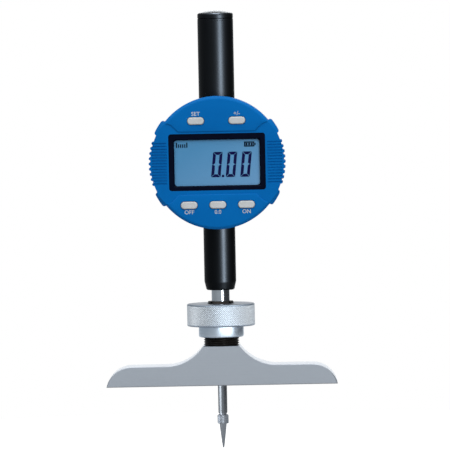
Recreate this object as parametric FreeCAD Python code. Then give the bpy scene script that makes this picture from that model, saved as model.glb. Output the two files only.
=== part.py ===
import FreeCAD, Part
import math
import os

# Digital depth gauge: a T-shaped measuring base, a collet with a knurled nut that grips the
# indicator's stem, and a digital indicator with a sprung spindle and a display that turns.
# Millimetres. Z runs up the spindle, the origin is where the spindle crosses the measuring
# face, and the display faces -Y.

# Shared clearances
overrun = 5.0
running_fit = 0.02
sliding_fit = 0.03
face_gap = 0.05
part_gap = 0.3

# Measuring base
base_length = 101.6
base_thickness = 16.0
base_shoulder_height = 8.9
base_shoulder_reach = 39.8
base_neck_foot = 24.7
base_neck_wall = 1.7
base_neck_height = 17.4
base_edge_break = 0.25
base_bore_clearance = 0.6
base_socket_diameter = 12.6
base_socket_depth = 10.0

# Collet, screwed into the neck of the base
collet_thread_diameter = 15.6
collet_edge_break = 0.55
collet_proud = 1.1
collet_tip_wall = 1.4
collet_taper_step = 1.0
collet_taper_length = 5.5
collet_slot_width = 1.0
collet_slot_depth = 12.0
collet_slot_cuts = 2
collet_slot_angle = 45.0

# Clamp nut
nut_gap_above_base = 3.7
nut_flange_wall = 1.8
nut_flange_height = 4.9
nut_flange_edge = 0.7
nut_wheel_diameter = 29.5
nut_wheel_height = 9.8
nut_wheel_chamfer = 1.0
nut_thread_clearance = 0.06
nut_cone_clearance = 0.15

# Stem and the black sleeve above it
stem_diameter = 8.0
stem_wall = 0.9
stem_grip_length = 19.9
stem_shown_length = 4.95
stem_seat_length = 16.0
stem_slide_down = 4.5
sleeve_diameter = 14.0
sleeve_wall = 2.0
sleeve_tip_step = 0.8
sleeve_taper_length = 3.9
sleeve_tip_edge = 0.4
sleeve_shown_length = 30.45
lower_bush_length = 14.0
lower_bush_setback = 0.5

# Rear case behind the display
case_inset = 3.0
case_wall = 2.0
case_edge = 0.8
case_boss_height = 0.8
sleeve_boss_wall = 1.3
handle_boss_wall = 1.2
boss_cover = 0.15
tube_entry = 0.7
cover_thickness = 2.0
cover_edge = 0.6
cover_screw_ring_share = 0.912
cover_screw_angle = 25.0
cover_post_radius = 2.6
cover_screw_radius = 1.0
cover_screw_head_radius = 1.9
cover_screw_head_height = 1.0
cover_screw_length = 6.0
screw_slot_width = 0.4
screw_slot_depth = 0.4

# Handle tube and its domed cap
handle_diameter = 15.7
handle_wall = 1.0
handle_end_room = 7.9
handle_above_holder = 3.0
cap_rim_height = 2.0
cap_dome_height = 2.4
cap_shoulder_radius = 1.2
cap_plug_length = 1.2
upper_bush_length = 7.0

# Spindle and contact point
spindle_diameter = 4.0
spindle_travel = 28.0
spindle_above_seat = 2.6
tip_reach = 27.8
needle_length = 10.6
needle_root_diameter = 2.7
needle_tip_radius = 0.15
contact_collar_diameter = 5.0
contact_collar_length = 4.7
contact_collar_edge = 0.3
contact_neck_diameter = 3.4
contact_neck_length = 0.7
contact_stud_diameter = 2.5
contact_stud_length = 5.0

# Spring on the upper end of the spindle
spring_turns = 8
spring_steps_per_turn = 10
spring_wire = 0.5
spring_seat_inset = 0.8
spring_seat_gap = 1.45
spring_seat_thickness = 1.0

# Moving scale carrier, its guide, and the soft stop under it
buffer_thickness = 1.0
buffer_bore_clearance = 0.6
buffer_seat_width = 0.6
carrier_rest_gap = 0.2
carrier_width = 12.0
carrier_depth = 6.8
carrier_height = 10.0
carrier_screw_radius = 1.0
scale_strip_width = 6.4
scale_strip_thickness = 0.8
guide_pin_radius = 1.0
guide_pin_root = 3.0
guide_pin_height = 5.0
guide_pin_entry = 2.6
rail_gap = 2.0
rail_channel_gap = 0.2
rail_back_wall = 2.8
rail_thickness = 6.0
rail_low_gap = 0.8
rail_high_gap = 4.8
rail_screw_inset = 4.0
rail_pad_radius = 1.4
small_screw_radius = 0.8
small_screw_head_radius = 1.35
small_screw_head_height = 0.7

# Sensor board in front of the scale
sensor_board_width = 14.0
sensor_board_thickness = 1.0
sensor_gap = 0.45
sensor_post_radius = 1.5
sensor_post_side_inset = 1.8
sensor_post_low_inset = 4.6
sensor_post_high_inset = 3.0
sensor_screw_head_height = 0.35

# Coin cell, its holder and lid
cell_diameter = 20.0
cell_thickness = 3.2
cell_clearance = 0.2
holder_clearance = 1.1
holder_floor = 0.6
holder_wall = 1.2
contact_plate_radius = 7.0
contact_plate_thickness = 0.2
lid_over_cell = 1.2
lid_clearance = 0.3
lid_skirt_step = 0.9
lid_inset = 0.2
lid_flange = 0.4
lid_skirt_height = 0.6
lid_lug_reach = 1.6
lid_lug_width = 4.0
lid_lug_thickness = 0.8
lid_slot_length = 14.0
lid_slot_width = 1.6
lid_slot_depth = 1.0
lid_open_angle = 45.0

# Turning display head
head_radius = 29.0
head_wall = 2.0
head_face_thickness = 2.2
head_front_chamfer = 1.0
head_rear_chamfer = 0.6
ear_rise = 1.3
ear_inner_angle = 26.0
ear_outer_angle = 38.2
ear_step_angle = 0.9
grip_root_rise = 0.15
grip_rise = 0.85
grip_tooth_pitch_angle = 4.45
grip_tooth_count = 9
grip_tooth_root_share = 0.36
grip_tooth_tip_share = 0.16
band_drop = 0.5
side_slope_drop = 1.3
side_rib_pitch = 1.25
side_rib_count = 15
side_rib_depth = 0.35
side_rib_width = 0.6

# Hub the head turns on
plate_thickness = 1.5
hub_radius = 10.0
hub_wall = 3.0
hub_clearance = 0.05
hub_end_length = 0.3
ring_thickness = 0.8
ring_groove_depth = 0.8
ring_overlap = 2.0
ring_gap_angle = 50.0
washer_thickness = 0.5
washer_width = 4.0
turn_limit_angle = 135.0
stop_pin_radius = 0.9
stop_pin_depth = 1.0
stop_pin_gap = 1.3
stop_groove_clearance = 0.3
head_screw_inset = 2.6
head_post_radius = 1.7
head_screw_head_radius = 1.4
head_screw_head_height = 0.7
head_screw_length = 5.0

# Layout of the head's face, as shares of the head's radius
window_width_share = 1.455
window_height_share = 0.855
button_width_share = 0.2490
button_height_share = 0.1095
upper_button_offset_share = 0.3093
upper_button_rise_share = 0.6207
lower_button_offset_share = 0.431
lower_button_drop_share = 0.6448
band_corner_shares = ((0.579, 0.469), (0.683, 0.572), (0.828, 0.631))
side_slope_start_share = 0.779
side_rib_start_share = 0.807
side_rib_end_share = 0.966

# Display, window and keypad inside the head
face_rise = 0.4
window_corner = 1.2
frame_recess = 0.3
frame_flange_width = 0.7
frame_flange_thickness = 0.8
frame_side_width = 2.5
frame_bar_width = 2.4
view_corner = 1.3
view_drop = 0.3
view_bevel = 0.5
lens_thickness = 0.9
lcd_side_margin = 0.8
lcd_end_margin = 0.7
lcd_thickness = 2.0
connector_inset = 3.3
connector_width = 2.0
connector_edge = 1.9
board_clearance = 0.8
board_thickness = 1.0
board_above_plate = 1.25
keypad_thickness = 0.5
keypad_set_back = 3.2
switch_size = 3.2
switch_height = 1.8
switch_plunger_radius = 0.8
switch_plunger_height = 0.5
switch_gap = 0.3
button_corner_share = 0.47
button_edge = 0.35
button_proud = 0.75
button_travel = 0.6
button_clearance = 0.15
button_flange = 0.8
button_flange_thickness = 0.8
button_stem_radius = 1.2
ribbon_width = 5.0
ribbon_thickness = 0.3
ribbon_gap = 0.4

# Widths and radii that follow from what each piece fits
base_neck_width = base_socket_diameter + 2 * base_neck_wall
base_bore_diameter = contact_collar_diameter + 2 * base_bore_clearance
collet_tip_diameter = stem_diameter + 2 * collet_tip_wall
collet_taper_root_diameter = collet_thread_diameter - 2 * collet_taper_step
nut_flange_diameter = collet_thread_diameter + 2 * nut_flange_wall
stem_bore_diameter = stem_diameter - 2 * stem_wall
sleeve_bore_diameter = sleeve_diameter - 2 * sleeve_wall
sleeve_tip_diameter = sleeve_diameter - 2 * sleeve_tip_step
case_radius = head_radius - case_inset
cavity_radius = case_radius - case_wall
spring_seat_radius = handle_diameter / 2 - handle_wall - spring_seat_gap
spring_mean_radius = spring_seat_radius - spring_seat_inset
buffer_bore_radius = spindle_diameter / 2 + buffer_bore_clearance
buffer_radius = sleeve_bore_diameter / 2 + buffer_seat_width
rail_near = carrier_width / 2 + rail_gap
guide_pin_reach = rail_near + guide_pin_entry
rail_channel_floor = guide_pin_reach + rail_channel_gap
rail_far = rail_channel_floor + rail_back_wall
rail_screw_offset = (rail_channel_floor + rail_far) / 2
sensor_post_offset = sensor_board_width / 2 - sensor_post_side_inset
lid_radius = cell_diameter / 2 + lid_over_cell
lid_skirt_radius = lid_radius - lid_skirt_step
lid_lug_radius = lid_radius + lid_lug_reach
holder_wall_radius = lid_lug_radius + part_gap + holder_wall
ear_radius = head_radius + ear_rise
grip_root_radius = head_radius + grip_root_rise
grip_tip_radius = head_radius + grip_rise
hub_bore_radius = hub_radius - hub_wall
ring_outer_radius = hub_radius + ring_overlap
washer_outer_radius = hub_radius + washer_width
stop_ring_radius = washer_outer_radius + stop_pin_gap + stop_pin_radius
head_screw_ring = head_radius - head_wall - head_screw_inset
board_radius = head_radius - head_wall - board_clearance
window_width = head_radius * window_width_share
window_height = head_radius * window_height_share
view_width = window_width - 2 * frame_side_width
view_height = window_height - 2 * frame_bar_width
lcd_width = window_width - 2 * lcd_side_margin
lcd_height = window_height - 2 * lcd_end_margin
connector_length = lcd_width - 2 * connector_inset
connector_offset = lcd_height / 2 - connector_edge
button_width = head_radius * button_width_share
button_height = head_radius * button_height_share
button_corner = button_height * button_corner_share
upper_button_offset = head_radius * upper_button_offset_share
upper_button_rise = head_radius * upper_button_rise_share
lower_button_offset = head_radius * lower_button_offset_share
lower_button_drop = head_radius * lower_button_drop_share
side_slope_start = head_radius * side_slope_start_share
side_rib_start = head_radius * side_rib_start_share
side_rib_end = head_radius * side_rib_end_share

# Heights up the spindle axis
nut_bottom = base_neck_height + nut_gap_above_base
nut_wheel_bottom = nut_bottom + nut_flange_height
nut_top = nut_wheel_bottom + nut_wheel_height
collet_top = nut_top + collet_proud
stem_bottom = collet_top - stem_grip_length
sleeve_bottom = collet_top + stem_shown_length
stem_top = sleeve_bottom + stem_seat_length
head_centre = sleeve_bottom + sleeve_shown_length + case_radius
face_centre = head_centre + face_rise
sleeve_top = head_centre - cavity_radius + tube_entry
buffer_top = sleeve_top + buffer_thickness
carrier_bottom = buffer_top + carrier_rest_gap
carrier_top = carrier_bottom + carrier_height
handle_bottom = head_centre + holder_wall_radius + handle_above_holder
handle_top = head_centre + case_radius + spindle_travel + handle_end_room
cap_underside = handle_top - cap_plug_length
upper_bush_top = handle_bottom + upper_bush_length
seat_bottom = upper_bush_top + part_gap
seat_top = seat_bottom + spring_seat_thickness
spindle_bottom = needle_length + contact_collar_length - tip_reach
spindle_top = seat_top + spindle_above_seat
rail_half_height = math.sqrt(cavity_radius**2 - rail_far**2)
rail_bottom = head_centre - rail_half_height + rail_low_gap
rail_top = head_centre + rail_half_height - rail_high_gap
sensor_board_top = handle_bottom - part_gap

# Places from front to back; the case is as deep as its bosses and the coin cell need
sleeve_boss_radius = sleeve_diameter / 2 + sleeve_boss_wall
handle_boss_radius = handle_diameter / 2 + handle_boss_wall
boss_depth = max(sleeve_boss_radius, handle_boss_radius) + boss_cover
holder_depth = holder_floor + contact_plate_thickness + cell_thickness + part_gap
cell_depth = carrier_depth / 2 + holder_clearance + holder_depth + lid_flange
case_front = -boss_depth
case_inner_front = case_front + case_wall
cover_seat = max(boss_depth, cell_depth)
cover_back = cover_seat + cover_thickness
plate_back = case_front - face_gap - washer_thickness
plate_front = plate_back - plate_thickness
board_back = plate_front - board_above_plate
board_front = board_back - board_thickness
keypad_back = board_front - switch_height - switch_plunger_height - switch_gap
keypad_front = keypad_back - keypad_thickness
face_inside = keypad_front - keypad_set_back
head_front = face_inside - head_face_thickness
head_depth = plate_back - head_front
band_front = head_front + band_drop
strip_front = -carrier_depth / 2 - scale_strip_thickness
sensor_back = strip_front - sensor_gap
sensor_front = sensor_back - sensor_board_thickness
lid_back = cover_back - lid_inset
lid_front = cover_seat - lid_flange
lug_front = lid_front - lid_skirt_height
cell_back = lid_front - part_gap
cell_front = cell_back - cell_thickness
holder_front = cell_front - contact_plate_thickness - holder_floor


def vec(x, y, z):
    return FreeCAD.Vector(x, y, z)


def cyl_z(radius, low, high, x=0.0, y=0.0):
    return Part.makeCylinder(radius, high - low, vec(x, y, low), vec(0, 0, 1))


def cyl_y(radius, front, back, x=0.0, z=head_centre):
    return Part.makeCylinder(radius, back - front, vec(x, front, z), vec(0, 1, 0))


def cyl_x(radius, left, right, y=0.0, z=0.0):
    return Part.makeCylinder(radius, right - left, vec(left, y, z), vec(1, 0, 0))


def block(x, y, z):
    """A box from three (low, high) pairs."""
    return Part.makeBox(x[1] - x[0], y[1] - y[0], z[1] - z[0], vec(x[0], y[0], z[0]))


def centred(width):
    return -width / 2, width / 2


def path_face(start, *steps):
    """A closed face; a step is a point for a line, or a (through, end) pair for an arc."""
    edges = []
    here = start
    for step in steps:
        if isinstance(step, tuple):
            edges.append(Part.Arc(here, step[0], step[1]).toShape())
            here = step[1]
        else:
            edges.append(Part.LineSegment(here, step).toShape())
            here = step
    if here.distanceToPoint(start) > Part.Vertex(start).Tolerance:
        edges.append(Part.LineSegment(here, start).toShape())
    return Part.Face(Part.Wire(edges))


def turned_z(points, x=0.0, y=0.0):
    """A solid turned about an upright axis from (radius, height) points."""
    face = path_face(*[vec(x + radius, y, height) for radius, height in points])
    return face.revolve(vec(x, y, 0), vec(0, 0, 1), 360)


def turned_y(points, x=0.0, z=head_centre):
    """A solid turned about a front-to-back axis from (radius, place) points."""
    face = path_face(*[vec(x + radius, place, z) for radius, place in points])
    return face.revolve(vec(x, 0, z), vec(0, 1, 0), 360)


def ring_z(outer, inner, low, high):
    return cyl_z(outer, low, high).cut(cyl_z(inner, low - overrun, high + overrun))


def ring_y(outer, inner, front, back, z=head_centre):
    return cyl_y(outer, front, back, z=z).cut(
        cyl_y(inner, front - overrun, back + overrun, z=z)
    )


def rounded_plate(width, height, corner, front, back, x=0.0, z=head_centre):
    """A plate in the plane of the display with rounded corners."""
    right = width / 2
    top = height / 2
    bend = corner * (1 - math.sqrt(0.5))

    def at(across, up):
        return vec(x + across, front, z + up)

    face = path_face(
        at(-right + corner, -top),
        at(right - corner, -top),
        (at(right - bend, -top + bend), at(right, -top + corner)),
        at(right, top - corner),
        (at(right - bend, top - bend), at(right - corner, top)),
        at(-right + corner, top),
        (at(-right + bend, top - bend), at(-right, top - corner)),
        at(-right, -top + corner),
        (at(-right + bend, -top + bend), at(-right + corner, -top)),
    )
    return face.extrude(vec(0, back - front, 0))


def around_head(shape, angle):
    """The shape turned about the head's own axis."""
    turned = shape.copy()
    turned.rotate(vec(0, 0, head_centre), vec(0, 1, 0), angle)
    return turned


def fused(first, *others):
    return first.fuse(list(others)).removeSplitter()


def save(name, *solids):
    shape = solids[0] if len(solids) == 1 else Part.makeCompound(list(solids))
    if shape.ShapeType == "Compound" and len(shape.Solids) == 1:
        shape = shape.Solids[0]
    if not shape.isValid():
        print(name, "is not valid")
    shape.exportStep("parts/" + name + ".step")


def base():
    """Ground base: flat measuring face, rounded ends, hollow curves up to a square neck."""
    end = base_length / 2
    drop_run = end - base_shoulder_reach
    end_radius = (drop_run**2 + base_shoulder_height**2) / (2 * base_shoulder_height)
    rise = base_neck_height - base_shoulder_height
    foot_run = base_neck_foot - base_neck_width / 2
    hollow_radius = (foot_run**2 + rise**2) / (2 * rise)
    front = -base_thickness / 2

    def half_way(centre, radius, one, other):
        middle = (one + other) / 2 - centre
        return centre + middle * (radius / middle.Length)

    def side(sign):
        tip = vec(sign * end, front, 0)
        shoulder = vec(sign * base_shoulder_reach, front, base_shoulder_height)
        foot = vec(sign * base_neck_foot, front, base_shoulder_height)
        neck = vec(sign * base_neck_width / 2, front, base_neck_height)
        end_mid = half_way(shoulder - vec(0, 0, end_radius), end_radius, tip, shoulder)
        hollow_mid = half_way(foot + vec(0, 0, hollow_radius), hollow_radius, foot, neck)
        return tip, end_mid, shoulder, foot, hollow_mid, neck

    tip, end_mid, shoulder, foot, hollow_mid, neck = side(1)
    far_tip, far_end_mid, far_shoulder, far_foot, far_hollow_mid, far_neck = side(-1)
    face = path_face(
        far_tip,
        tip,
        (end_mid, shoulder),
        foot,
        (hollow_mid, neck),
        far_neck,
        (far_hollow_mid, far_foot),
        far_shoulder,
        (far_end_mid, far_tip),
    )
    solid = face.extrude(vec(0, base_thickness, 0))
    rims = [
        edge
        for edge in solid.Edges
        if abs(edge.BoundBox.YMax - edge.BoundBox.YMin) < base_edge_break
    ]
    solid = solid.makeChamfer(base_edge_break, rims)
    socket_floor = base_neck_height - base_socket_depth
    solid = solid.cut(cyl_z(base_bore_diameter / 2, -overrun, base_neck_height + overrun))
    return solid.cut(
        cyl_z(base_socket_diameter / 2, socket_floor, base_neck_height + overrun)
    )


def collet():
    """Collet: shank in the neck, round body for the thread, slotted and tapered upper end."""
    shank = base_socket_diameter / 2
    thread = collet_thread_diameter / 2
    bottom = base_neck_height - base_socket_depth
    taper_low = collet_top - collet_taper_length
    solid = turned_z(
        [
            (0, bottom),
            (shank, bottom),
            (shank, base_neck_height),
            (thread - collet_edge_break, base_neck_height),
            (thread, base_neck_height + collet_edge_break),
            (thread, taper_low - collet_edge_break),
            (collet_taper_root_diameter / 2, taper_low),
            (collet_tip_diameter / 2, collet_top),
            (0, collet_top),
        ]
    )
    floor = stem_bottom - stem_slide_down - part_gap
    solid = solid.cut(
        cyl_z(stem_diameter / 2 + sliding_fit, floor, collet_top + overrun)
    )
    solid = solid.cut(cyl_z(base_bore_diameter / 2, bottom - overrun, floor + overrun))
    for cut in range(collet_slot_cuts):
        slot = block(
            centred(collet_thread_diameter + overrun),
            centred(collet_slot_width),
            (collet_top - collet_slot_depth, collet_top + overrun),
        )
        turn = collet_slot_angle + 180 * cut / collet_slot_cuts
        slot.rotate(vec(0, 0, 0), vec(0, 0, 1), turn)
        solid = solid.cut(slot)
    return solid


def clamp_nut():
    """Knurled wheel and flange in one piece, threaded below and coned above."""
    flange = nut_flange_diameter / 2
    wheel = nut_wheel_diameter / 2
    thread = collet_thread_diameter / 2 + nut_thread_clearance
    taper_low = collet_top - collet_taper_length
    tip = collet_tip_diameter / 2
    root = collet_taper_root_diameter / 2
    slope = (root - tip) / collet_taper_length
    cone_low = root + nut_cone_clearance
    cone_high = tip + slope * (collet_top - nut_top) + nut_cone_clearance
    return turned_z(
        [
            (thread, nut_bottom),
            (flange - nut_flange_edge, nut_bottom),
            (flange, nut_bottom + nut_flange_edge),
            (flange, nut_wheel_bottom),
            (wheel - nut_wheel_chamfer, nut_wheel_bottom),
            (wheel, nut_wheel_bottom + nut_wheel_chamfer),
            (wheel, nut_top - nut_wheel_chamfer),
            (wheel - nut_wheel_chamfer, nut_top),
            (cone_high, nut_top),
            (cone_low, taper_low),
            (thread, taper_low),
        ]
    )


def stem_tube():
    return ring_z(stem_diameter / 2, stem_bore_diameter / 2, stem_bottom, stem_top)


def lower_spindle_bush():
    low = stem_bottom + lower_bush_setback
    bore = spindle_diameter / 2 + running_fit
    return ring_z(stem_bore_diameter / 2, bore, low, low + lower_bush_length)


def stem_sleeve():
    """Black sleeve with a tapered lower end, bored for the stem and then for the spindle."""
    outer = sleeve_diameter / 2
    tip = sleeve_tip_diameter / 2
    solid = turned_z(
        [
            (stem_diameter / 2, sleeve_bottom),
            (tip - sleeve_tip_edge, sleeve_bottom),
            (tip, sleeve_bottom + sleeve_tip_edge),
            (outer, sleeve_bottom + sleeve_taper_length),
            (outer, sleeve_top),
            (sleeve_bore_diameter / 2, sleeve_top),
            (sleeve_bore_diameter / 2, stem_top),
            (stem_diameter / 2, stem_top),
        ]
    )
    return solid


def cover_screw_places():
    """Centres of the back cover's screws, as (x, z)."""
    radius = cavity_radius * cover_screw_ring_share
    places = []
    for angle in (
        cover_screw_angle,
        180 - cover_screw_angle,
        180 + cover_screw_angle,
        -cover_screw_angle,
    ):
        turn = math.radians(angle)
        places.append((radius * math.cos(turn), head_centre + radius * math.sin(turn)))
    return places


def sensor_post_places():
    return [
        (-sensor_post_offset, carrier_bottom + sensor_post_low_inset),
        (sensor_post_offset, sensor_board_top - sensor_post_high_inset),
    ]


def rail_screw_places():
    return [
        (-rail_screw_offset, rail_bottom + rail_screw_inset),
        (-rail_screw_offset, rail_top - rail_screw_inset),
    ]


def rear_case():
    """Round case open at the back, with bosses for the two tubes and posts inside."""
    inner = case_inner_front
    shell = turned_y(
        [
            (0, case_front),
            (case_radius - case_edge, case_front),
            (case_radius, case_front + case_edge),
            (case_radius, cover_seat),
            (0, cover_seat),
        ]
    )
    boss_reach = case_radius + case_boss_height
    sleeve_boss = cyl_z(
        sleeve_boss_radius, head_centre - boss_reach, head_centre - cavity_radius
    )
    handle_boss = cyl_z(
        handle_boss_radius, head_centre + cavity_radius, head_centre + boss_reach
    )
    shell = fused(shell, sleeve_boss, handle_boss)
    shell = shell.cut(cyl_y(cavity_radius, inner, cover_seat + overrun))
    posts = []
    for x, z in cover_screw_places():
        posts.append(cyl_y(cover_post_radius, inner, cover_seat, x, z))
    for x, z in sensor_post_places():
        posts.append(cyl_y(sensor_post_radius, inner, sensor_front, x, z))
    for x, z in rail_screw_places():
        posts.append(cyl_y(rail_pad_radius, inner, -rail_thickness / 2, x, z))
    shell = fused(shell, *posts)
    shell = shell.cut(cyl_z(sleeve_diameter / 2, sleeve_bottom, sleeve_top))
    shell = shell.cut(cyl_z(handle_diameter / 2, handle_bottom, handle_top))
    hub_hole = hub_radius + hub_clearance
    shell = shell.cut(cyl_y(hub_hole, case_front - overrun, inner + face_gap))
    shell = shell.cut(stop_pin())
    shell = shell.cut(Part.makeCompound(cover_screw_solids()))
    shell = shell.cut(Part.makeCompound(sensor_screw_solids()))
    return shell.cut(Part.makeCompound(rail_screw_solids()))


def countersunk_screw(shaft, head, head_height, length, x, z, back):
    """A screw whose flat head lies in the plane at back."""
    return turned_y(
        [
            (0, back),
            (head, back),
            (shaft, back - head_height),
            (shaft, back - length),
            (0, back - length),
        ],
        x,
        z,
    )


def screw_slot(head, x, z, back):
    """The cut for a screwdriver across a head that lies in the plane at back."""
    return block(
        (x - head - overrun, x + head + overrun),
        (back - screw_slot_depth, back + overrun),
        (z - screw_slot_width / 2, z + screw_slot_width / 2),
    )


def cheese_screw(x, z, seat, head_height, length):
    """A small flat-headed screw whose head rests on the plane at seat."""
    return turned_y(
        [
            (0, seat + head_height),
            (small_screw_head_radius, seat + head_height),
            (small_screw_head_radius, seat),
            (small_screw_radius, seat),
            (small_screw_radius, seat - length),
            (0, seat - length),
        ],
        x,
        z,
    )


def cover_screw_solids():
    return [
        countersunk_screw(
            cover_screw_radius,
            cover_screw_head_radius,
            cover_screw_head_height,
            cover_screw_length,
            x,
            z,
            cover_back,
        )
        for x, z in cover_screw_places()
    ]


def back_cover_screws():
    slots = [
        screw_slot(cover_screw_head_radius, x, z, cover_back)
        for x, z in cover_screw_places()
    ]
    return [screw.cut(slot) for screw, slot in zip(cover_screw_solids(), slots)]


def sensor_screw_solids():
    length = sensor_board_thickness + sensor_front - case_inner_front
    return [
        cheese_screw(x, z, sensor_back, sensor_screw_head_height, length)
        for x, z in sensor_post_places()
    ]


def rail_screw_solids():
    length = rail_thickness + (-rail_thickness / 2 - case_inner_front) / 2
    return [
        cheese_screw(x, z, rail_thickness / 2, small_screw_head_height, length)
        for x, z in rail_screw_places()
    ]


def back_cover():
    """Flat cover with the lid's round hole and the two notches its lugs pass."""
    solid = turned_y(
        [
            (lid_radius + lid_clearance, cover_seat),
            (case_radius, cover_seat),
            (case_radius, cover_back - cover_edge),
            (case_radius - cover_edge, cover_back),
            (lid_radius + lid_clearance, cover_back),
        ]
    )
    notch = block(
        centred(2 * (lid_lug_radius + lid_clearance)),
        (cover_seat - overrun, cover_back + overrun),
        centred(lid_lug_width + 2 * lid_clearance),
    )
    notch.translate(vec(0, 0, head_centre))
    solid = solid.cut(around_head(notch, lid_open_angle))
    return solid.cut(Part.makeCompound(cover_screw_solids()))


def battery_lid():
    """Coin-slot lid: a disc in the cover's hole, a skirt round the cell, and two lugs."""
    solid = turned_y(
        [
            (0, lid_front),
            (lid_skirt_radius, lid_front),
            (lid_skirt_radius, lug_front),
            (lid_radius, lug_front),
            (lid_radius, lid_back),
            (0, lid_back),
        ]
    )
    lug_back = cover_seat - face_gap
    lug_ring = ring_y(lid_lug_radius, lid_radius, lug_back - lid_lug_thickness, lug_back)
    bar = block(
        centred(2 * lid_lug_radius + overrun),
        (lug_front - overrun, lid_back),
        centred(lid_lug_width),
    )
    bar.translate(vec(0, 0, head_centre))
    slot = block(
        centred(lid_slot_length),
        (lid_back - lid_slot_depth, lid_back + overrun),
        centred(lid_slot_width),
    )
    slot.translate(vec(0, 0, head_centre))
    return fused(solid, lug_ring.common(bar)).cut(slot)


def battery_holder():
    """Round cup behind the cell, open at the back, stepped outwards to clear the lid's lugs."""
    step = lug_front - part_gap
    return turned_y(
        [
            (0, holder_front),
            (holder_wall_radius, holder_front),
            (holder_wall_radius, cover_seat),
            (lid_lug_radius + part_gap, cover_seat),
            (lid_lug_radius + part_gap, step),
            (cell_diameter / 2 + cell_clearance, step),
            (cell_diameter / 2 + cell_clearance, holder_front + holder_floor),
            (0, holder_front + holder_floor),
        ]
    )


def battery_cell():
    return cyl_y(cell_diameter / 2, cell_front, cell_back)


def battery_contact():
    return cyl_y(
        contact_plate_radius, holder_front + holder_floor, cell_front
    )


def handle_tube():
    outer = handle_diameter / 2
    return ring_z(outer, outer - handle_wall, handle_bottom, handle_top)


def handle_cap():
    """Plug, rim and low dome."""
    rim = handle_diameter / 2
    plug = rim - handle_wall
    rim_top = handle_top + cap_rim_height
    dome_top = rim_top + cap_dome_height
    bend = rim - cap_shoulder_radius
    shoulder = vec(bend, 0, rim_top + cap_shoulder_radius)
    round_mid = vec(
        bend + cap_shoulder_radius * math.sqrt(0.5),
        0,
        rim_top + cap_shoulder_radius * math.sqrt(0.5),
    )
    sag = dome_top - shoulder.z
    dome_radius = (bend**2 + sag**2) / (2 * sag)
    quarter = math.asin(bend / dome_radius) / 2
    dome_mid = vec(
        dome_radius * math.sin(quarter),
        0,
        dome_top - dome_radius * (1 - math.cos(quarter)),
    )
    face = path_face(
        vec(0, 0, cap_underside),
        vec(plug, 0, cap_underside),
        vec(plug, 0, handle_top),
        vec(rim, 0, handle_top),
        vec(rim, 0, rim_top),
        (round_mid, shoulder),
        (dome_mid, vec(0, 0, dome_top)),
    )
    return face.revolve(vec(0, 0, 0), vec(0, 0, 1), 360)


def upper_spindle_bush():
    outer = handle_diameter / 2 - handle_wall
    bore = spindle_diameter / 2 + running_fit
    return ring_z(outer, bore, handle_bottom, upper_bush_top)


def spindle():
    """Ground rod with a blind hole for the contact point's stud."""
    rod = cyl_z(spindle_diameter / 2, spindle_bottom, spindle_top)
    return rod.cut(
        cyl_z(
            contact_stud_diameter / 2,
            spindle_bottom - overrun,
            spindle_bottom + contact_stud_length + part_gap,
        )
    )


def contact_point():
    """Collar with a stud above and a long needle below."""
    collar = contact_collar_diameter / 2
    collar_bottom = spindle_bottom - contact_collar_length
    neck_bottom = spindle_bottom - contact_neck_length
    return turned_z(
        [
            (0, -tip_reach),
            (needle_tip_radius, -tip_reach),
            (needle_root_diameter / 2, collar_bottom),
            (collar - contact_collar_edge, collar_bottom),
            (collar, collar_bottom + contact_collar_edge),
            (collar, neck_bottom - contact_collar_edge),
            (collar - contact_collar_edge, neck_bottom),
            (contact_neck_diameter / 2, neck_bottom),
            (contact_neck_diameter / 2, spindle_bottom),
            (contact_stud_diameter / 2, spindle_bottom),
            (contact_stud_diameter / 2, spindle_bottom + contact_stud_length),
            (0, spindle_bottom + contact_stud_length),
        ]
    )


def spring_seat():
    return ring_z(spring_seat_radius, spindle_diameter / 2, seat_bottom, seat_top)


def spindle_spring():
    """Compression spring: a square wire section carried round a rising path."""
    half = spring_wire / 2
    low = seat_top + half
    high = cap_underside - half
    steps = spring_turns * spring_steps_per_turn
    sections = []
    for step in range(steps + 1):
        turn = 2 * math.pi * step / spring_steps_per_turn
        height = low + (high - low) * step / steps
        corners = []
        for out, up in ((-half, -half), (half, -half), (half, half), (-half, half)):
            radius = spring_mean_radius + out
            corners.append(
                vec(radius * math.cos(turn), radius * math.sin(turn), height + up)
            )
        sections.append(Part.makePolygon(corners + corners[:1]))
    return Part.makeLoft(sections, True, True)


def stop_buffer():
    return ring_z(buffer_radius, buffer_bore_radius, sleeve_top, buffer_top)


def scale_carrier():
    """Block on the spindle that carries the scale, the guide pin and a grub screw."""
    solid = block(
        centred(carrier_width), centred(carrier_depth), (carrier_bottom, carrier_top)
    )
    solid = solid.cut(
        cyl_z(spindle_diameter / 2, carrier_bottom - overrun, carrier_top + overrun)
    )
    middle = (carrier_bottom + carrier_top) / 2
    screw_hole = cyl_x(carrier_screw_radius, 0, carrier_width, z=middle)
    return solid.cut(guide_pin()).cut(screw_hole)


def carrier_screw():
    middle = (carrier_bottom + carrier_top) / 2
    near = spindle_diameter / 2 + face_gap
    return cyl_x(carrier_screw_radius, near, carrier_width / 2, z=middle)


def scale_strip():
    return block(
        centred(scale_strip_width),
        (strip_front, -carrier_depth / 2),
        (carrier_bottom, carrier_top),
    )


def guide_pin():
    return cyl_x(
        guide_pin_radius,
        -guide_pin_reach,
        -guide_pin_root,
        z=carrier_bottom + guide_pin_height,
    )


def guide_rail():
    """Upright bar with a channel that the guide pin slides in."""
    solid = block(
        (-rail_far, -rail_near), centred(rail_thickness), (rail_bottom, rail_top)
    )
    channel = block(
        (-rail_channel_floor, -rail_near + overrun),
        centred(2 * (guide_pin_radius + running_fit)),
        (rail_bottom - overrun, rail_top + overrun),
    )
    return solid.cut(channel).cut(Part.makeCompound(rail_screw_solids()))


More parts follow.
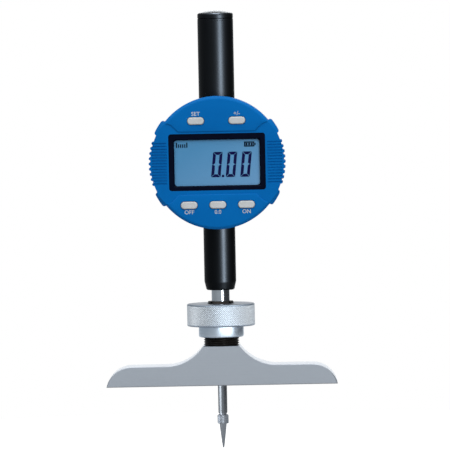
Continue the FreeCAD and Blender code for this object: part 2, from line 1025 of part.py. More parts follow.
def sensor_board():
    solid = block(
        centred(sensor_board_width),
        (sensor_front, sensor_back),
        (carrier_bottom, sensor_board_top),
    )
    return solid.cut(Part.makeCompound(sensor_screw_solids()))


def stop_pin():
    return cyl_y(
        stop_pin_radius,
        plate_back - stop_pin_depth,
        case_inner_front,
        -stop_ring_radius,
    )


def outline_stops():
    """The head's outline as (angle, radius) stops, with ears and grip teeth on both sides."""
    stops = []
    middle = (grip_tooth_count - 1) / 2
    for side in (0, 180):
        stops.append((side - ear_outer_angle - ear_step_angle, head_radius))
        stops.append((side - ear_outer_angle, ear_radius))
        stops.append((side - ear_inner_angle, ear_radius))
        stops.append((side - ear_inner_angle + ear_step_angle, grip_root_radius))
        for tooth in range(grip_tooth_count):
            centre = side + (tooth - middle) * grip_tooth_pitch_angle
            root = grip_tooth_pitch_angle * grip_tooth_root_share
            tip = grip_tooth_pitch_angle * grip_tooth_tip_share
            stops.append((centre - root, grip_root_radius))
            stops.append((centre - tip, grip_tip_radius))
            stops.append((centre + tip, grip_tip_radius))
            stops.append((centre + root, grip_root_radius))
        stops.append((side + ear_inner_angle - ear_step_angle, grip_root_radius))
        stops.append((side + ear_inner_angle, ear_radius))
        stops.append((side + ear_outer_angle, ear_radius))
        stops.append((side + ear_outer_angle + ear_step_angle, head_radius))
    return stops


def head_outline():
    """Face of the head's outline at its rear plane."""

    def at(angle, radius):
        turn = math.radians(angle)
        return vec(
            radius * math.cos(turn), plate_back, head_centre + radius * math.sin(turn)
        )

    stops = outline_stops()
    first_angle, first_radius = stops[0]
    edges = []
    for here, there in zip(stops, stops[1:] + [(first_angle + 360, first_radius)]):
        start = at(*here)
        end = at(*there)
        if here[1] == there[1]:
            middle = at((here[0] + there[0]) / 2, here[1])
            edges.append(Part.Arc(start, middle, end).toShape())
        else:
            edges.append(Part.LineSegment(start, end).toShape())
    return Part.Face(Part.Wire(edges))


def band_end_height():
    return head_radius * band_corner_shares[-1][1]


def band_cut():
    """The lower-lying band across the middle of the head's face."""
    quarter = [(head_radius * x, head_radius * z) for x, z in band_corner_shares]
    quarter.append((ear_radius + overrun, band_end_height()))
    right = quarter + [(x, -z) for x, z in reversed(quarter)]
    corners = right + [(-x, z) for x, z in reversed(right)]
    face = path_face(*[vec(x, head_front - overrun, head_centre + z) for x, z in corners])
    return face.extrude(vec(0, overrun + band_drop, 0))


def side_slope_cut(sign):
    """Wedge that slopes the band's ends back towards the grips."""
    start = side_slope_start
    end = ear_radius + overrun
    fall = side_slope_drop * (end - start) / (head_radius - start)
    low = head_centre - band_end_height()
    face = path_face(
        vec(sign * start, band_front, low),
        vec(sign * end, band_front + fall, low),
        vec(sign * end, head_front - overrun, low),
        vec(sign * start, head_front - overrun, low),
    )
    return face.extrude(vec(0, 0, 2 * band_end_height()))


def side_ribs(sign):
    """Shallow grooves across the sloping end of the band, one row for each rib."""
    grooves = []
    slope = side_slope_drop / (head_radius - side_slope_start)
    low_fall = slope * (side_rib_start - side_slope_start)
    high_fall = slope * (side_rib_end - side_slope_start)
    for rib in range(side_rib_count):
        z = head_centre + (rib - (side_rib_count - 1) / 2) * side_rib_pitch
        low = z - side_rib_width / 2
        face = path_face(
            vec(sign * side_rib_start, band_front + low_fall + side_rib_depth, low),
            vec(sign * side_rib_end, band_front + high_fall + side_rib_depth, low),
            vec(sign * side_rib_end, head_front - overrun, low),
            vec(sign * side_rib_start, head_front - overrun, low),
        )
        grooves.append(face.extrude(vec(0, 0, side_rib_width)))
    return grooves


def head_post_places():
    """Centres of the head's screw posts, as (x, z)."""
    places = []
    for quarter in range(4):
        turn = math.pi / 2 * quarter
        x = head_screw_ring * math.cos(turn)
        places.append((x, head_centre + head_screw_ring * math.sin(turn)))
    return places


def head_screw_solids():
    return [
        countersunk_screw(
            small_screw_radius,
            head_screw_head_radius,
            head_screw_head_height,
            head_screw_length,
            x,
            z,
            plate_back,
        )
        for x, z in head_post_places()
    ]


def button_places():
    """Name and centre of each button, as (name, x, z)."""
    high = face_centre + upper_button_rise
    low = face_centre - lower_button_drop
    return [
        ("upper_left_button", -upper_button_offset, high),
        ("upper_right_button", upper_button_offset, high),
        ("lower_left_button", -lower_button_offset, low),
        ("lower_middle_button", 0.0, low),
        ("lower_right_button", lower_button_offset, low),
    ]


def display_housing():
    """Moulded head: stepped face, ribbed grips, window and button openings, screw posts."""
    solid = head_outline().extrude(vec(0, -head_depth, 0))
    limit = ear_radius + overrun
    solid = solid.common(
        turned_y(
            [
                (0, head_front),
                (head_radius - head_front_chamfer, head_front),
                (head_radius + overrun, head_front + head_front_chamfer + overrun),
                (limit, head_front + head_front_chamfer + overrun),
                (limit, plate_back - head_rear_chamfer),
                (ear_radius - head_rear_chamfer, plate_back),
                (0, plate_back),
            ]
        )
    )
    cavity = cyl_y(head_radius - head_wall, face_inside, plate_back + overrun)
    posts = [
        cyl_y(head_post_radius, face_inside, plate_front, x, z)
        for x, z in head_post_places()
    ]
    cavity = cavity.cut(Part.makeCompound(posts))
    solid = solid.cut(cavity)
    solid = solid.cut(band_cut())
    for sign in (-1, 1):
        solid = solid.cut(side_slope_cut(sign))
        solid = solid.cut(Part.makeCompound(side_ribs(sign)))
    openings = [
        rounded_plate(
            window_width,
            window_height,
            window_corner,
            head_front - overrun,
            face_inside + face_gap,
            z=face_centre,
        )
    ]
    for name, x, z in button_places():
        openings.append(
            rounded_plate(
                button_width + 2 * button_clearance,
                button_height + 2 * button_clearance,
                button_corner + button_clearance,
                head_front - overrun,
                face_inside + face_gap,
                x,
                z,
            )
        )
    solid = solid.cut(Part.makeCompound(openings))
    return solid.cut(Part.makeCompound(head_screw_solids()))


def display_back_plate():
    """Disc that closes the head, with the hub, the ring groove and the stop's curved groove."""
    hub_back = case_inner_front + 2 * face_gap + ring_thickness + hub_end_length
    groove_front = case_inner_front + face_gap
    groove_back = groove_front + ring_thickness
    groove = hub_radius - ring_groove_depth
    solid = turned_y(
        [
            (hub_bore_radius, plate_front),
            (head_radius - head_wall, plate_front),
            (head_radius - head_wall, plate_back),
            (hub_radius, plate_back),
            (hub_radius, groove_front),
            (groove, groove_front),
            (groove, groove_back),
            (hub_radius, groove_back),
            (hub_radius, hub_back),
            (hub_bore_radius, hub_back),
        ]
    )
    half_width = stop_pin_radius + stop_groove_clearance
    depth = plate_back - stop_pin_depth - part_gap
    track = ring_y(
        stop_ring_radius + half_width,
        stop_ring_radius - half_width,
        depth,
        plate_back + overrun,
    )
    pin_angle = math.degrees(half_width / stop_ring_radius)
    land = 360 - 2 * (turn_limit_angle + pin_angle)
    reach = head_radius
    hub = vec(0, depth - overrun, head_centre)
    half_land = math.radians(land / 2)
    across = reach * math.cos(half_land)
    rise = reach * math.sin(half_land)
    sector = path_face(
        hub,
        hub + vec(across, 0, -rise),
        (hub + vec(reach, 0, 0), hub + vec(across, 0, rise)),
    ).extrude(vec(0, plate_thickness + 2 * overrun, 0))
    solid = solid.cut(track.cut(sector))
    return solid.cut(Part.makeCompound(head_screw_solids()))


def hub_retaining_ring():
    """Open ring snapped into the hub's groove inside the case."""
    low = case_inner_front + face_gap
    high = low + ring_thickness
    solid = ring_y(ring_outer_radius, hub_radius - ring_groove_depth, low, high)
    half = math.radians(ring_gap_angle / 2)
    reach = 2 * ring_outer_radius
    centre = vec(0, low - overrun, head_centre)
    wedge = path_face(
        centre,
        centre + vec(-reach * math.sin(half), 0, -reach * math.cos(half)),
        centre + vec(reach * math.sin(half), 0, -reach * math.cos(half)),
    ).extrude(vec(0, ring_thickness + 2 * overrun, 0))
    return solid.cut(wedge)


def friction_washer():
    return ring_y(
        washer_outer_radius, hub_radius, plate_back, plate_back + washer_thickness
    )


def window_frame():
    """Black frame in the window, with a bevelled opening and a flange behind the face."""
    front = band_front + frame_recess
    flange_back = face_inside + frame_flange_thickness
    solid = rounded_plate(
        window_width, window_height, window_corner, front, face_inside, z=face_centre
    )
    flange = rounded_plate(
        window_width + 2 * frame_flange_width,
        window_height + 2 * frame_flange_width,
        window_corner + frame_flange_width,
        face_inside,
        flange_back,
        z=face_centre,
    )
    solid = fused(solid, flange)
    view = rounded_plate(
        view_width,
        view_height,
        view_corner,
        front - overrun,
        flange_back + overrun,
        z=face_centre - view_drop,
    )
    bed = block(
        centred(lcd_width),
        (face_inside, flange_back + overrun),
        centred(lcd_height),
    )
    bed.translate(vec(0, 0, face_centre))
    solid = solid.cut(view).cut(bed)
    return solid.cut(view_bevel_cut(front))


def view_bevel_cut(front):
    """Sloping lead-in round the visible part of the display."""

    def rim(grow, place):
        right = view_width / 2 + grow
        top = view_height / 2 + grow
        middle = face_centre - view_drop
        corners = [(-right, -top), (right, -top), (right, top), (-right, top)]
        points = [vec(x, place, middle + z) for x, z in corners]
        return Part.makePolygon(points + points[:1])

    return Part.makeLoft([rim(0, front + view_bevel), rim(view_bevel, front)], True, True)


def window_lens():
    return rounded_plate(
        view_width,
        view_height,
        view_corner,
        face_inside - lens_thickness,
        face_inside,
        z=face_centre - view_drop,
    )


def lcd_panel():
    solid = block(
        centred(lcd_width), (face_inside, face_inside + lcd_thickness), centred(lcd_height)
    )
    solid.translate(vec(0, 0, face_centre))
    return solid


def display_connector():
    """Two soft strips that join the display's glass to the board."""
    strips = []
    for side in (-1, 1):
        strip = block(
            centred(connector_length),
            (face_inside + lcd_thickness, board_front),
            centred(connector_width),
        )
        strip.translate(vec(0, 0, face_centre + side * connector_offset))
        strips.append(strip)
    return strips


def display_board():
    solid = cyl_y(board_radius, board_front, board_back)
    posts = [
        cyl_y(head_post_radius, board_front - overrun, board_back + overrun, x, z)
        for x, z in head_post_places()
    ]
    return solid.cut(Part.makeCompound(posts))


def key_switches():
    """One small push switch on the board behind each button."""
    switches = []
    for name, x, z in button_places():
        body = block(
            (x - switch_size / 2, x + switch_size / 2),
            (board_front - switch_height, board_front),
            (z - switch_size / 2, z + switch_size / 2),
        )
        plunger_front = board_front - switch_height - switch_plunger_height
        plunger = cyl_y(
            switch_plunger_radius, plunger_front, board_front - switch_height, x, z
        )
        switches.append(fused(body, plunger))
    return switches


def keypad_sheet():
    """Soft sheet between the buttons and the switches, with a hole for the display."""
    solid = cyl_y(board_radius, keypad_front, keypad_back)
    hole = rounded_plate(
        window_width + 2 * frame_flange_width,
        window_height + 2 * frame_flange_width,
        window_corner,
        keypad_front - overrun,
        keypad_back + overrun,
        z=face_centre,
    )
    posts = [
        cyl_y(head_post_radius, keypad_front - overrun, keypad_back + overrun, x, z)
        for x, z in head_post_places()
    ]
    return solid.cut(hole).cut(Part.makeCompound(posts))


def button(x, z):
    """Pill-shaped cap with a flange behind the face and a stem down to the keypad."""
    front = head_front - button_proud
    flange_front = face_inside + face_gap
    flange_back = flange_front + button_flange_thickness
    cap = rounded_plate(
        button_width, button_height, button_corner, front, flange_front, x, z
    )
    rims = [
        edge
        for edge in cap.Edges
        if edge.BoundBox.YMax < front + button_edge
    ]
    cap = cap.makeChamfer(button_edge, rims)
    flange = rounded_plate(
        button_width + 2 * button_flange,
        button_height + 2 * button_flange,
        button_corner + button_flange,
        flange_front,
        flange_back,
        x,
        z,
    )
    stem = cyl_y(
        button_stem_radius, flange_back, keypad_front - button_travel - face_gap, x, z
    )
    return fused(cap, flange, stem)


def ribbon_cable():
    """Flat lead from the sensor board through the hub to just behind the display board."""
    return block(
        centred(ribbon_width),
        (board_back + ribbon_gap, sensor_front),
        (head_centre - ribbon_thickness / 2, head_centre + ribbon_thickness / 2),
    )


os.makedirs("parts", exist_ok=True)
save("base", base())
save("collet", collet())
save("clamp_nut", clamp_nut())
save("stem_tube", stem_tube())
save("lower_spindle_bush", lower_spindle_bush())
save("stem_sleeve", stem_sleeve())
save("stop_buffer", stop_buffer())
save("rear_case", rear_case())
save("back_cover", back_cover())
save("back_cover_screws", *back_cover_screws())
save("battery_lid", battery_lid())
save("battery_cell", battery_cell())
save("battery_holder", battery_holder())
save("battery_contact", battery_contact())
save("handle_tube", handle_tube())
save("handle_cap", handle_cap())
save("upper_spindle_bush", upper_spindle_bush())
save("spindle", spindle())
save("contact_point", contact_point())
save("spring_seat", spring_seat())
save("spindle_spring", spindle_spring())
save("scale_carrier", scale_carrier())
save("carrier_screw", carrier_screw())
save("scale_strip", scale_strip())
save("guide_pin", guide_pin())
save("guide_rail", guide_rail())
save("guide_rail_screws", *rail_screw_solids())
save("sensor_board", sensor_board())
save("sensor_board_screws", *sensor_screw_solids())
save("turn_stop_pin", stop_pin())
save("ribbon_cable", ribbon_cable())
save("display_housing", display_housing())
save("display_back_plate", display_back_plate())
save("display_screws", *head_screw_solids())
save("hub_retaining_ring", hub_retaining_ring())
save("friction_washer", friction_washer())
save("window_frame", window_frame())
save("window_lens", window_lens())
save("lcd_panel", lcd_panel())
save("display_connector", *display_connector())
save("display_board", display_board())
save("key_switches", *key_switches())
save("keypad_sheet", keypad_sheet())
for button_name, button_x, button_z in button_places():
    save(button_name, button(button_x, button_z))
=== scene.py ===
# %% [markdown]
# A digital depth gauge. A ground steel base carries a collet, a knurled nut grips the stem of
# the indicator, and the indicator is a black tube, a blue turning head and a needle point.
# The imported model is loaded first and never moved. Everything made here lies where it says.

# %% Load the frame
import math

import bmesh
import bpy
from mathutils import Matrix, Vector


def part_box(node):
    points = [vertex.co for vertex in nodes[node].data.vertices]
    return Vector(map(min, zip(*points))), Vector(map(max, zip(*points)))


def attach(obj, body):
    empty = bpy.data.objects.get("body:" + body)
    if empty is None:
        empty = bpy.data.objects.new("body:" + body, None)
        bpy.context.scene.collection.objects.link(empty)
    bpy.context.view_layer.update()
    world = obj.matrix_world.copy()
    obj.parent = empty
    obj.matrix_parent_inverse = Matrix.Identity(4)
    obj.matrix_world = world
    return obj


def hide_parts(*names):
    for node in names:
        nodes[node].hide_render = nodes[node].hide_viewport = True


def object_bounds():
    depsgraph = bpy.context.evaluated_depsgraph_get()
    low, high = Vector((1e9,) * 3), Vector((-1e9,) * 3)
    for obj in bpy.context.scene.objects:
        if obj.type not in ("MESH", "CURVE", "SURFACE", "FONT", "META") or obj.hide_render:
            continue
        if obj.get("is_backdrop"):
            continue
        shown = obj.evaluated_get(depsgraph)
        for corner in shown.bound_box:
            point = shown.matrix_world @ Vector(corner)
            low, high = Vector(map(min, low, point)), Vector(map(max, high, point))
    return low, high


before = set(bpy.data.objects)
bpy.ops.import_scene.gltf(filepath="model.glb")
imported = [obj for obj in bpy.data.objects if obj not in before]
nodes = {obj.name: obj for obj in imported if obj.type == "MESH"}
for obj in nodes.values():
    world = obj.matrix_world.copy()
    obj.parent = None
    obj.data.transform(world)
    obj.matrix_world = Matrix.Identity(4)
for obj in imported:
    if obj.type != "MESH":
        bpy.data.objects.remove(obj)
cad_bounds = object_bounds()
mm = 0.001
print(len(nodes), "pieces in the frame")

# %% [markdown]
# Places that several new pieces share are read from the frame, so that they sit where the
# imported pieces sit.


# %% Read the main places
def low(node):
    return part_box(node)[0]


def high(node):
    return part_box(node)[1]


head_centre = (low("rear_case").z + high("rear_case").z) / 2
face_front = low("display_housing").y
lowest = low("contact_point").z
print("head centre", round(head_centre / mm, 2), "face at", round(face_front / mm, 2))

# %% [markdown]
# The photograph was taken from far away with a long lens, nearly level and nearly square to
# the face. The whole gauge leans a little to the left in it, so the camera is rolled by the
# same small angle. The aim is found by walking sideways and up from the spindle's axis.


# %% Camera
def placed(name, data):
    """A new object in the scene, made from its data."""
    thing = bpy.data.objects.new(name, data)
    bpy.context.scene.collection.objects.link(thing)
    return thing


def direction_to(azimuth, elevation):
    """Which way a place round the gauge lies, in radians; azimuth 0 is in front of it."""
    return Vector(
        (
            math.sin(azimuth) * math.cos(elevation),
            -math.cos(azimuth) * math.cos(elevation),
            math.sin(elevation),
        )
    )


view_azimuth = math.radians(1.0)
view_elevation = math.radians(2.4)
view_roll = math.radians(1.14)
view_distance = 2.2
view_width = 0.198
aim_height = 69.5 * mm
aim_right = 2.53 * mm
aim_up = 0.80 * mm

toward = direction_to(view_azimuth, view_elevation)
level = Vector((math.cos(view_azimuth), math.sin(view_azimuth), 0))
upward = toward.cross(level)
right = level * math.cos(view_roll) - upward * math.sin(view_roll)
above = level * math.sin(view_roll) + upward * math.cos(view_roll)
turn = Matrix((right, above, toward)).transposed().to_4x4()
place = Vector((0, 0, aim_height)) + toward * view_distance
place += right * aim_right + above * aim_up

camera_data = bpy.data.cameras.new("camera")
camera_data.sensor_width = 36
camera_data.lens = camera_data.sensor_width * view_distance / view_width
camera_data.clip_end = 10
camera = placed("camera", camera_data)
camera.matrix_world = Matrix.Translation(place) @ turn
bpy.context.scene.camera = camera
bpy.context.scene.view_settings.view_transform = "Standard"
print("lens", round(camera_data.lens), "mm")

# %% [markdown]
# Short helpers for the shader trees. Each one adds a node and hands back the socket that the
# next one needs, so a finish reads from top to bottom.

# %% Shader helpers
white = (1.0, 1.0, 1.0)


def new_finish(name, roughness, metallic=0.0):
    """A material, its tree and its main shader, with the constants set on the shader."""
    material = bpy.data.materials.new(name)
    material.use_nodes = True
    shader = material.node_tree.nodes["Principled BSDF"]
    shader.inputs["Roughness"].default_value = roughness
    shader.inputs["Metallic"].default_value = metallic
    return material, material.node_tree, shader


def spread(tree, stretch=(1, 1, 1)):
    """Object coordinates, scaled per metre along each axis."""
    coordinates = tree.nodes.new("ShaderNodeTexCoord")
    mapping = tree.nodes.new("ShaderNodeMapping")
    mapping.inputs["Scale"].default_value = stretch
    tree.links.new(coordinates.outputs["Object"], mapping.inputs["Vector"])
    return mapping.outputs["Vector"]


def axes(tree, vector):
    """The X, Y and Z outputs of a vector."""
    node = tree.nodes.new("ShaderNodeSeparateXYZ")
    tree.links.new(vector, node.inputs["Vector"])
    return node.outputs


def combine(tree, operation, one, other):
    """Two values put together by one step of arithmetic."""
    node = tree.nodes.new("ShaderNodeMath")
    node.operation = operation
    tree.links.new(one, node.inputs[0])
    tree.links.new(other, node.inputs[1])
    return node.outputs["Value"]


def noise(tree, stretch, detail=3.0):
    """Cloudy noise; stretch is in cells per metre along x, y and z."""
    node = tree.nodes.new("ShaderNodeTexNoise")
    node.inputs["Scale"].default_value = 1.0
    node.inputs["Detail"].default_value = detail
    node.inputs["Roughness"].default_value = 0.55
    tree.links.new(spread(tree, stretch), node.inputs["Vector"])
    return node.outputs["Fac"]


def ramp(tree, factor, stops):
    """A colour ramp from (place, colour) stops."""
    node = tree.nodes.new("ShaderNodeValToRGB")
    elements = node.color_ramp.elements
    while len(elements) < len(stops):
        elements.new(0.5)
    for element, (where, colour) in zip(elements, stops):
        element.position = where
        element.color = (*colour, 1.0)
    tree.links.new(factor, node.inputs["Fac"])
    return node.outputs["Color"]


def greys(stops):
    """Ramp stops from (place, grey)."""
    return [(where, (grey, grey, grey)) for where, grey in stops]


def between(tree, value, from_low, from_high, to_low=0.0, to_high=1.0):
    """The value mapped from one range to another."""
    node = tree.nodes.new("ShaderNodeMapRange")
    for name, number in (
        ("From Min", from_low),
        ("From Max", from_high),
        ("To Min", to_low),
        ("To Max", to_high),
    ):
        node.inputs[name].default_value = number
    tree.links.new(value, node.inputs["Value"])
    return node.outputs["Result"]


def tinted(tree, factor, colour, tint):
    """A colour multiplied by a tint, as far as the factor says."""
    node = tree.nodes.new("ShaderNodeMix")
    node.data_type = "RGBA"
    node.blend_type = "MULTIPLY"
    tree.links.new(factor, node.inputs["Factor"])
    sockets = [socket for socket in node.inputs if socket.type == "RGBA"]
    for socket, source in zip(sockets, (colour, tint)):
        tree.links.new(source, socket)
    return next(socket for socket in node.outputs if socket.type == "RGBA")


def bump(tree, shader, height, depth, strength):
    """Fine relief; depth is in metres."""
    node = tree.nodes.new("ShaderNodeBump")
    node.inputs["Strength"].default_value = strength
    node.inputs["Distance"].default_value = depth
    tree.links.new(height, node.inputs["Height"])
    tree.links.new(node.outputs["Normal"], shader.inputs["Normal"])


def colour_from(tree, shader, socket):
    tree.links.new(socket, shader.inputs["Base Color"])


def two_tone(tree, shader, pattern, dark, light, light_from=0.7):
    """Base colour that drifts between two close tones with a pattern."""
    colour_from(tree, shader, ramp(tree, pattern, [(0.3, dark), (light_from, light)]))


def uneven_gloss(tree, shader, pattern, glossy, dull, glossy_to=0.3, dull_from=0.7):
    """Roughness that drifts between two values with a pattern."""
    roughness = between(tree, pattern, glossy_to, dull_from, glossy, dull)
    tree.links.new(roughness, shader.inputs["Roughness"])


print("shader helpers ready")

# %% [markdown]
# The gauge hangs just above a plain pale floor, low enough for the needle to clear it when the
# stem is let down. The floor is a disc and not a whole plain, because upright steel would
# mirror a wide floor over most of its height. It keeps the shadow. What the camera sees of it
# is lifted to white, and so is what metal and glass see of the part behind the gauge; in front
# of it they see the plain grey of the floor itself.


# %% Floor
def path_seen(tree, behind):
    """One where the camera looks, or where a glossy or clear ray goes behind the gauge."""
    path = tree.nodes.new("ShaderNodeLightPath").outputs
    mirrored = combine(tree, "MAXIMUM", path["Is Glossy Ray"], path["Is Transmission Ray"])
    mirrored_behind = combine(tree, "MULTIPLY", mirrored, behind)
    return combine(tree, "MAXIMUM", path["Is Camera Ray"], mirrored_behind)


def pale_floor():
    material, tree, shader = new_finish("pale_floor", roughness=0.9)
    two_tone(tree, shader, noise(tree, (9, 9, 9)), (0.34, 0.34, 0.34), (0.36, 0.36, 0.36))
    fade_from, fade_to = 0.1, 0.3
    behind = between(tree, axes(tree, spread(tree))["Y"], fade_from, fade_to)
    glow = tree.nodes.new("ShaderNodeEmission")
    glow.inputs["Strength"].default_value = 0.85
    both = tree.nodes.new("ShaderNodeAddShader")
    seen = tree.nodes.new("ShaderNodeMixShader")
    tree.links.new(shader.outputs["BSDF"], both.inputs[0])
    tree.links.new(glow.outputs["Emission"], both.inputs[1])
    tree.links.new(path_seen(tree, behind), seen.inputs["Fac"])
    tree.links.new(shader.outputs["BSDF"], seen.inputs[1])
    tree.links.new(both.outputs["Shader"], seen.inputs[2])
    tree.links.new(seen.outputs["Shader"], tree.nodes["Material Output"].inputs["Surface"])
    return material


floor_reach = 0.32
floor_corners = 64
room_below = 10
floor_height = lowest - room_below * mm
floor_rim = []
for corner in range(floor_corners):
    turn = 2 * math.pi * corner / floor_corners
    floor_rim.append((floor_reach * math.cos(turn), floor_reach * math.sin(turn), floor_height))
floor_mesh = bpy.data.meshes.new("floor")
floor_mesh.from_pydata(floor_rim, [], [tuple(range(floor_corners))])
floor_mesh.materials.append(pale_floor())
floor = placed("floor", floor_mesh)
floor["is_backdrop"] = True
print("floor at", round(floor_height / mm, 2), "mm")

# %% [markdown]
# The room is a studio with a white wall behind the gauge and a bright ceiling, and it is dim
# in front and at the sides, as where a photographer stands dark screens. So a flat steel face
# looks grey, its upper edges catch the ceiling, and round steel shows light and dark bands.

# %% World
world = bpy.data.worlds.new("studio")
world.use_nodes = True
bpy.context.scene.world = world
room = world.node_tree
background = room.nodes["Background"]
direction = axes(room, room.nodes.new("ShaderNodeTexCoord").outputs["Generated"])
back_wall = between(room, direction["Y"], 0.80, 0.95)
across = between(room, direction["X"], -1.0, 1.0)
ceiling = between(room, direction["Z"], 0.25, 0.75)
side_stops = [(0.0, 0.34), (0.25, 0.42), (0.62, 0.42), (0.78, 0.16), (0.9, 0.05), (1.0, 0.05)]
brightest = back_wall
for shade in (ramp(room, across, greys(side_stops)), ceiling, path_seen(room, back_wall)):
    brightest = combine(room, "MAXIMUM", brightest, shade)
room_colour = ramp(room, brightest, [(0.5, (0.86, 0.94, 1.0)), (1.0, white)])
room.links.new(room_colour, background.inputs["Color"])
room.links.new(brightest, background.inputs["Strength"])
print("studio room ready")

# %% [markdown]
# Three plain softboxes light everything: one overhead, one from the upper left, and a front
# fill that gives matt surfaces their level and is kept out of every reflection. The other boxes
# are strips and panels for the gloss of single pieces, because round metal and black gloss
# show little but the lamps they mirror. A narrow strip draws the upright stripe on the black
# tubes. It is short, so that the cap doesn't mirror it towards someone behind the gauge. A wide
# panel keeps the nut pale, and a low box behind brightens the base's upper rim. Which pieces
# each may reach is said under Flags.


# %% Lamps
def softbox(name, azimuth, elevation, distance, width, height, radiance):
    """An area lamp that faces the gauge, in degrees and metres; radiance 1 is white paper."""
    data = bpy.data.lights.new(name, "AREA")
    data.shape = "RECTANGLE"
    data.size = width
    data.size_y = height
    data.energy = radiance * math.pi * width * height
    data.color = (0.92, 0.97, 1.0)
    lamp = placed(name, data)
    way = direction_to(math.radians(azimuth), math.radians(elevation))
    lamp.location = Vector((0, 0, aim_height)) + way * distance
    lamp.rotation_euler = way.to_track_quat("Z", "Y").to_euler()
    return lamp


softbox("overhead_box", 0, 80, 0.9, 0.9, 0.7, 1.0)
stem_stripe = softbox("stem_stripe_box", 25, 4, 1.3, 0.3, 1.2, 9.0)
nut_box = softbox("nut_box", 26, 8, 1.3, 1.9, 1.2, 2.9)
nut_stripe = softbox("nut_stripe_box", 44, 8, 1.3, 0.7, 1.2, 1.4)
tube_stripe = softbox("tube_stripe_box", 30, -1, 1.3, 0.26, 0.5, 165.0)
tube_top = softbox("tube_top_box", 10, 75, 1.0, 0.5, 0.5, 140.0)
rod_stripe = softbox("rod_stripe_box", -58, 4, 1.3, 1.3, 1.2, 2.6)
base_box = softbox("base_box", 0, 0, 1.5, 1.5, 1.0, 0.42)
rim_box = softbox("rim_box", 180, 9, 1.3, 2.2, 0.9, 0.45)
back_stripe = softbox("back_stripe_box", 180, 4, 1.3, 0.3, 1.2, 4.0)
for lamp in (rim_box, back_stripe):
    lamp.visible_camera = False
fill = softbox("front_fill", 30, 24, 1.6, 1.2, 1.2, 2.8)
fill.visible_glossy = False
softbox("left_box", -38, 40, 1.2, 0.7, 0.7, 1.0)
print("lamps ready")

# %% [markdown]
# Ground steel. A surface grinder leaves fine straight scratches along the length of the base,
# so the noise is stretched a hundred times along x. A broader, weaker cloud varies the sheen.


# %% Ground steel
def ground_steel():
    material, tree, shader = new_finish("ground_steel", roughness=0.34, metallic=1.0)
    scratches = noise(tree, (60, 5200, 5200), detail=4.0)
    cloud = noise(tree, (25, 60, 60))
    streaks = ramp(tree, scratches, [(0.25, (0.545, 0.575, 0.625)), (0.75, (0.58, 0.61, 0.66))])
    tint = ramp(tree, cloud, [(0.3, (0.90, 0.90, 0.91)), (0.7, white)])
    colour_from(tree, shader, tinted(tree, cloud, streaks, tint))
    uneven_gloss(tree, shader, scratches, 0.26, 0.42, 0.2, 0.8)
    bump(tree, shader, scratches, 0.012 * mm, 0.5)
    return material


# %% [markdown]
# Turned and polished steel: the scratches run round the axis, so the noise is stretched the
# other way, with many cells up the axis and few around it. A knurled wheel also gets painted
# shade: its colour is darker in its grooves and on its turned corners.


# %% Bright steel
def knurl_painted_shade(tree, crest, depth, bottom, top):
    """Painted shade of a knurled wheel, darker in its grooves and on its turned corners,
    and the tone of the calmer flange below it, from sizes in metres.
    """
    place = axes(tree, spread(tree))
    flat = tree.nodes.new("ShaderNodeCombineXYZ")
    tree.links.new(place["X"], flat.inputs["X"])
    tree.links.new(place["Y"], flat.inputs["Y"])
    reach = tree.nodes.new("ShaderNodeVectorMath")
    reach.operation = "LENGTH"
    tree.links.new(flat.outputs["Vector"], reach.inputs[0])
    # Painted shade: the colour darkens towards the bottom of the grooves.
    sunk = between(tree, reach.outputs["Value"], crest - depth, crest)
    groove, slope = (0.52, 0.53, 0.55), (0.94, 0.95, 0.95)
    groove_shade = ramp(tree, sunk, [(0.1, groove), (0.5, slope), (0.9, white)])
    # Painted shade: a dark band on the turned corners above and below the wheel.
    corner = 0.6 * mm
    height = between(tree, place["Z"], bottom - corner, top + corner)
    share = corner / (top - bottom + 2 * corner)
    fade = 0.02
    turned = ramp(
        tree,
        height,
        [
            (0.0, (0.82, 0.89, 0.97)),
            (fade, (0.42, 0.46, 0.52)),
            (share, (0.50, 0.54, 0.60)),
            (share + fade, white),
            (1.0 - fade - share, white),
            (1.0 - share, (0.52, 0.57, 0.63)),
        ],
    )
    inside = between(tree, place["Z"], bottom - 0.1 * mm, bottom)
    return tinted(tree, inside, turned, groove_shade)


def turned_steel(name, colour, roughness, ring_cells=9000, knurl=None):
    """Steel turned round the axis; knurl is (crest radius, depth, low, high) in metres."""
    material, tree, shader = new_finish(name, roughness, metallic=1.0)
    rings = noise(tree, (120, 120, ring_cells), detail=2.0)
    cloud = noise(tree, (180, 180, 90))
    darker = tuple(channel * 0.92 for channel in colour)
    base_colour = ramp(tree, rings, [(0.3, darker), (0.7, colour)])
    tint = ramp(tree, cloud, [(0.3, (0.93, 0.93, 0.94)), (0.7, white)])
    final_colour = tinted(tree, cloud, base_colour, tint)
    # A knurled wheel gets its painted shade multiplied into the colour.
    if knurl:
        in_full = between(tree, cloud, 0.0, 1.0, 1.0, 1.0)
        final_colour = tinted(tree, in_full, final_colour, knurl_painted_shade(tree, *knurl))
    colour_from(tree, shader, final_colour)
    glossy, dull = max(roughness - 0.06, 0.05), roughness + 0.08
    uneven_gloss(tree, shader, rings, glossy, dull, 0.25, 0.75)
    bump(tree, shader, rings, 0.006 * mm, 0.4)
    return material


# %% [markdown]
# Glossy black anodised tube. Black hides its colour, so the finish is all in the gloss: a
# faint drawing texture along the tube and a few slightly duller patches from handling.


# %% Black finishes
def gloss_black():
    material, tree, shader = new_finish("gloss_black", roughness=0.38)
    drawn = noise(tree, (2600, 2600, 70), detail=2.0)
    handling = noise(tree, (70, 70, 40))
    tones = (0.0006, 0.0005, 0.0004), (0.0016, 0.0014, 0.0012)
    two_tone(tree, shader, drawn, *tones, light_from=0.75)
    uneven_gloss(tree, shader, handling, 0.36, 0.41, dull_from=0.75)
    shader.inputs["Specular IOR Level"].default_value = 0.12
    shader.inputs["Specular Tint"].default_value = (0.72, 0.84, 1.0, 1.0)
    bump(tree, shader, drawn, 0.004 * mm, 0.3)
    return material


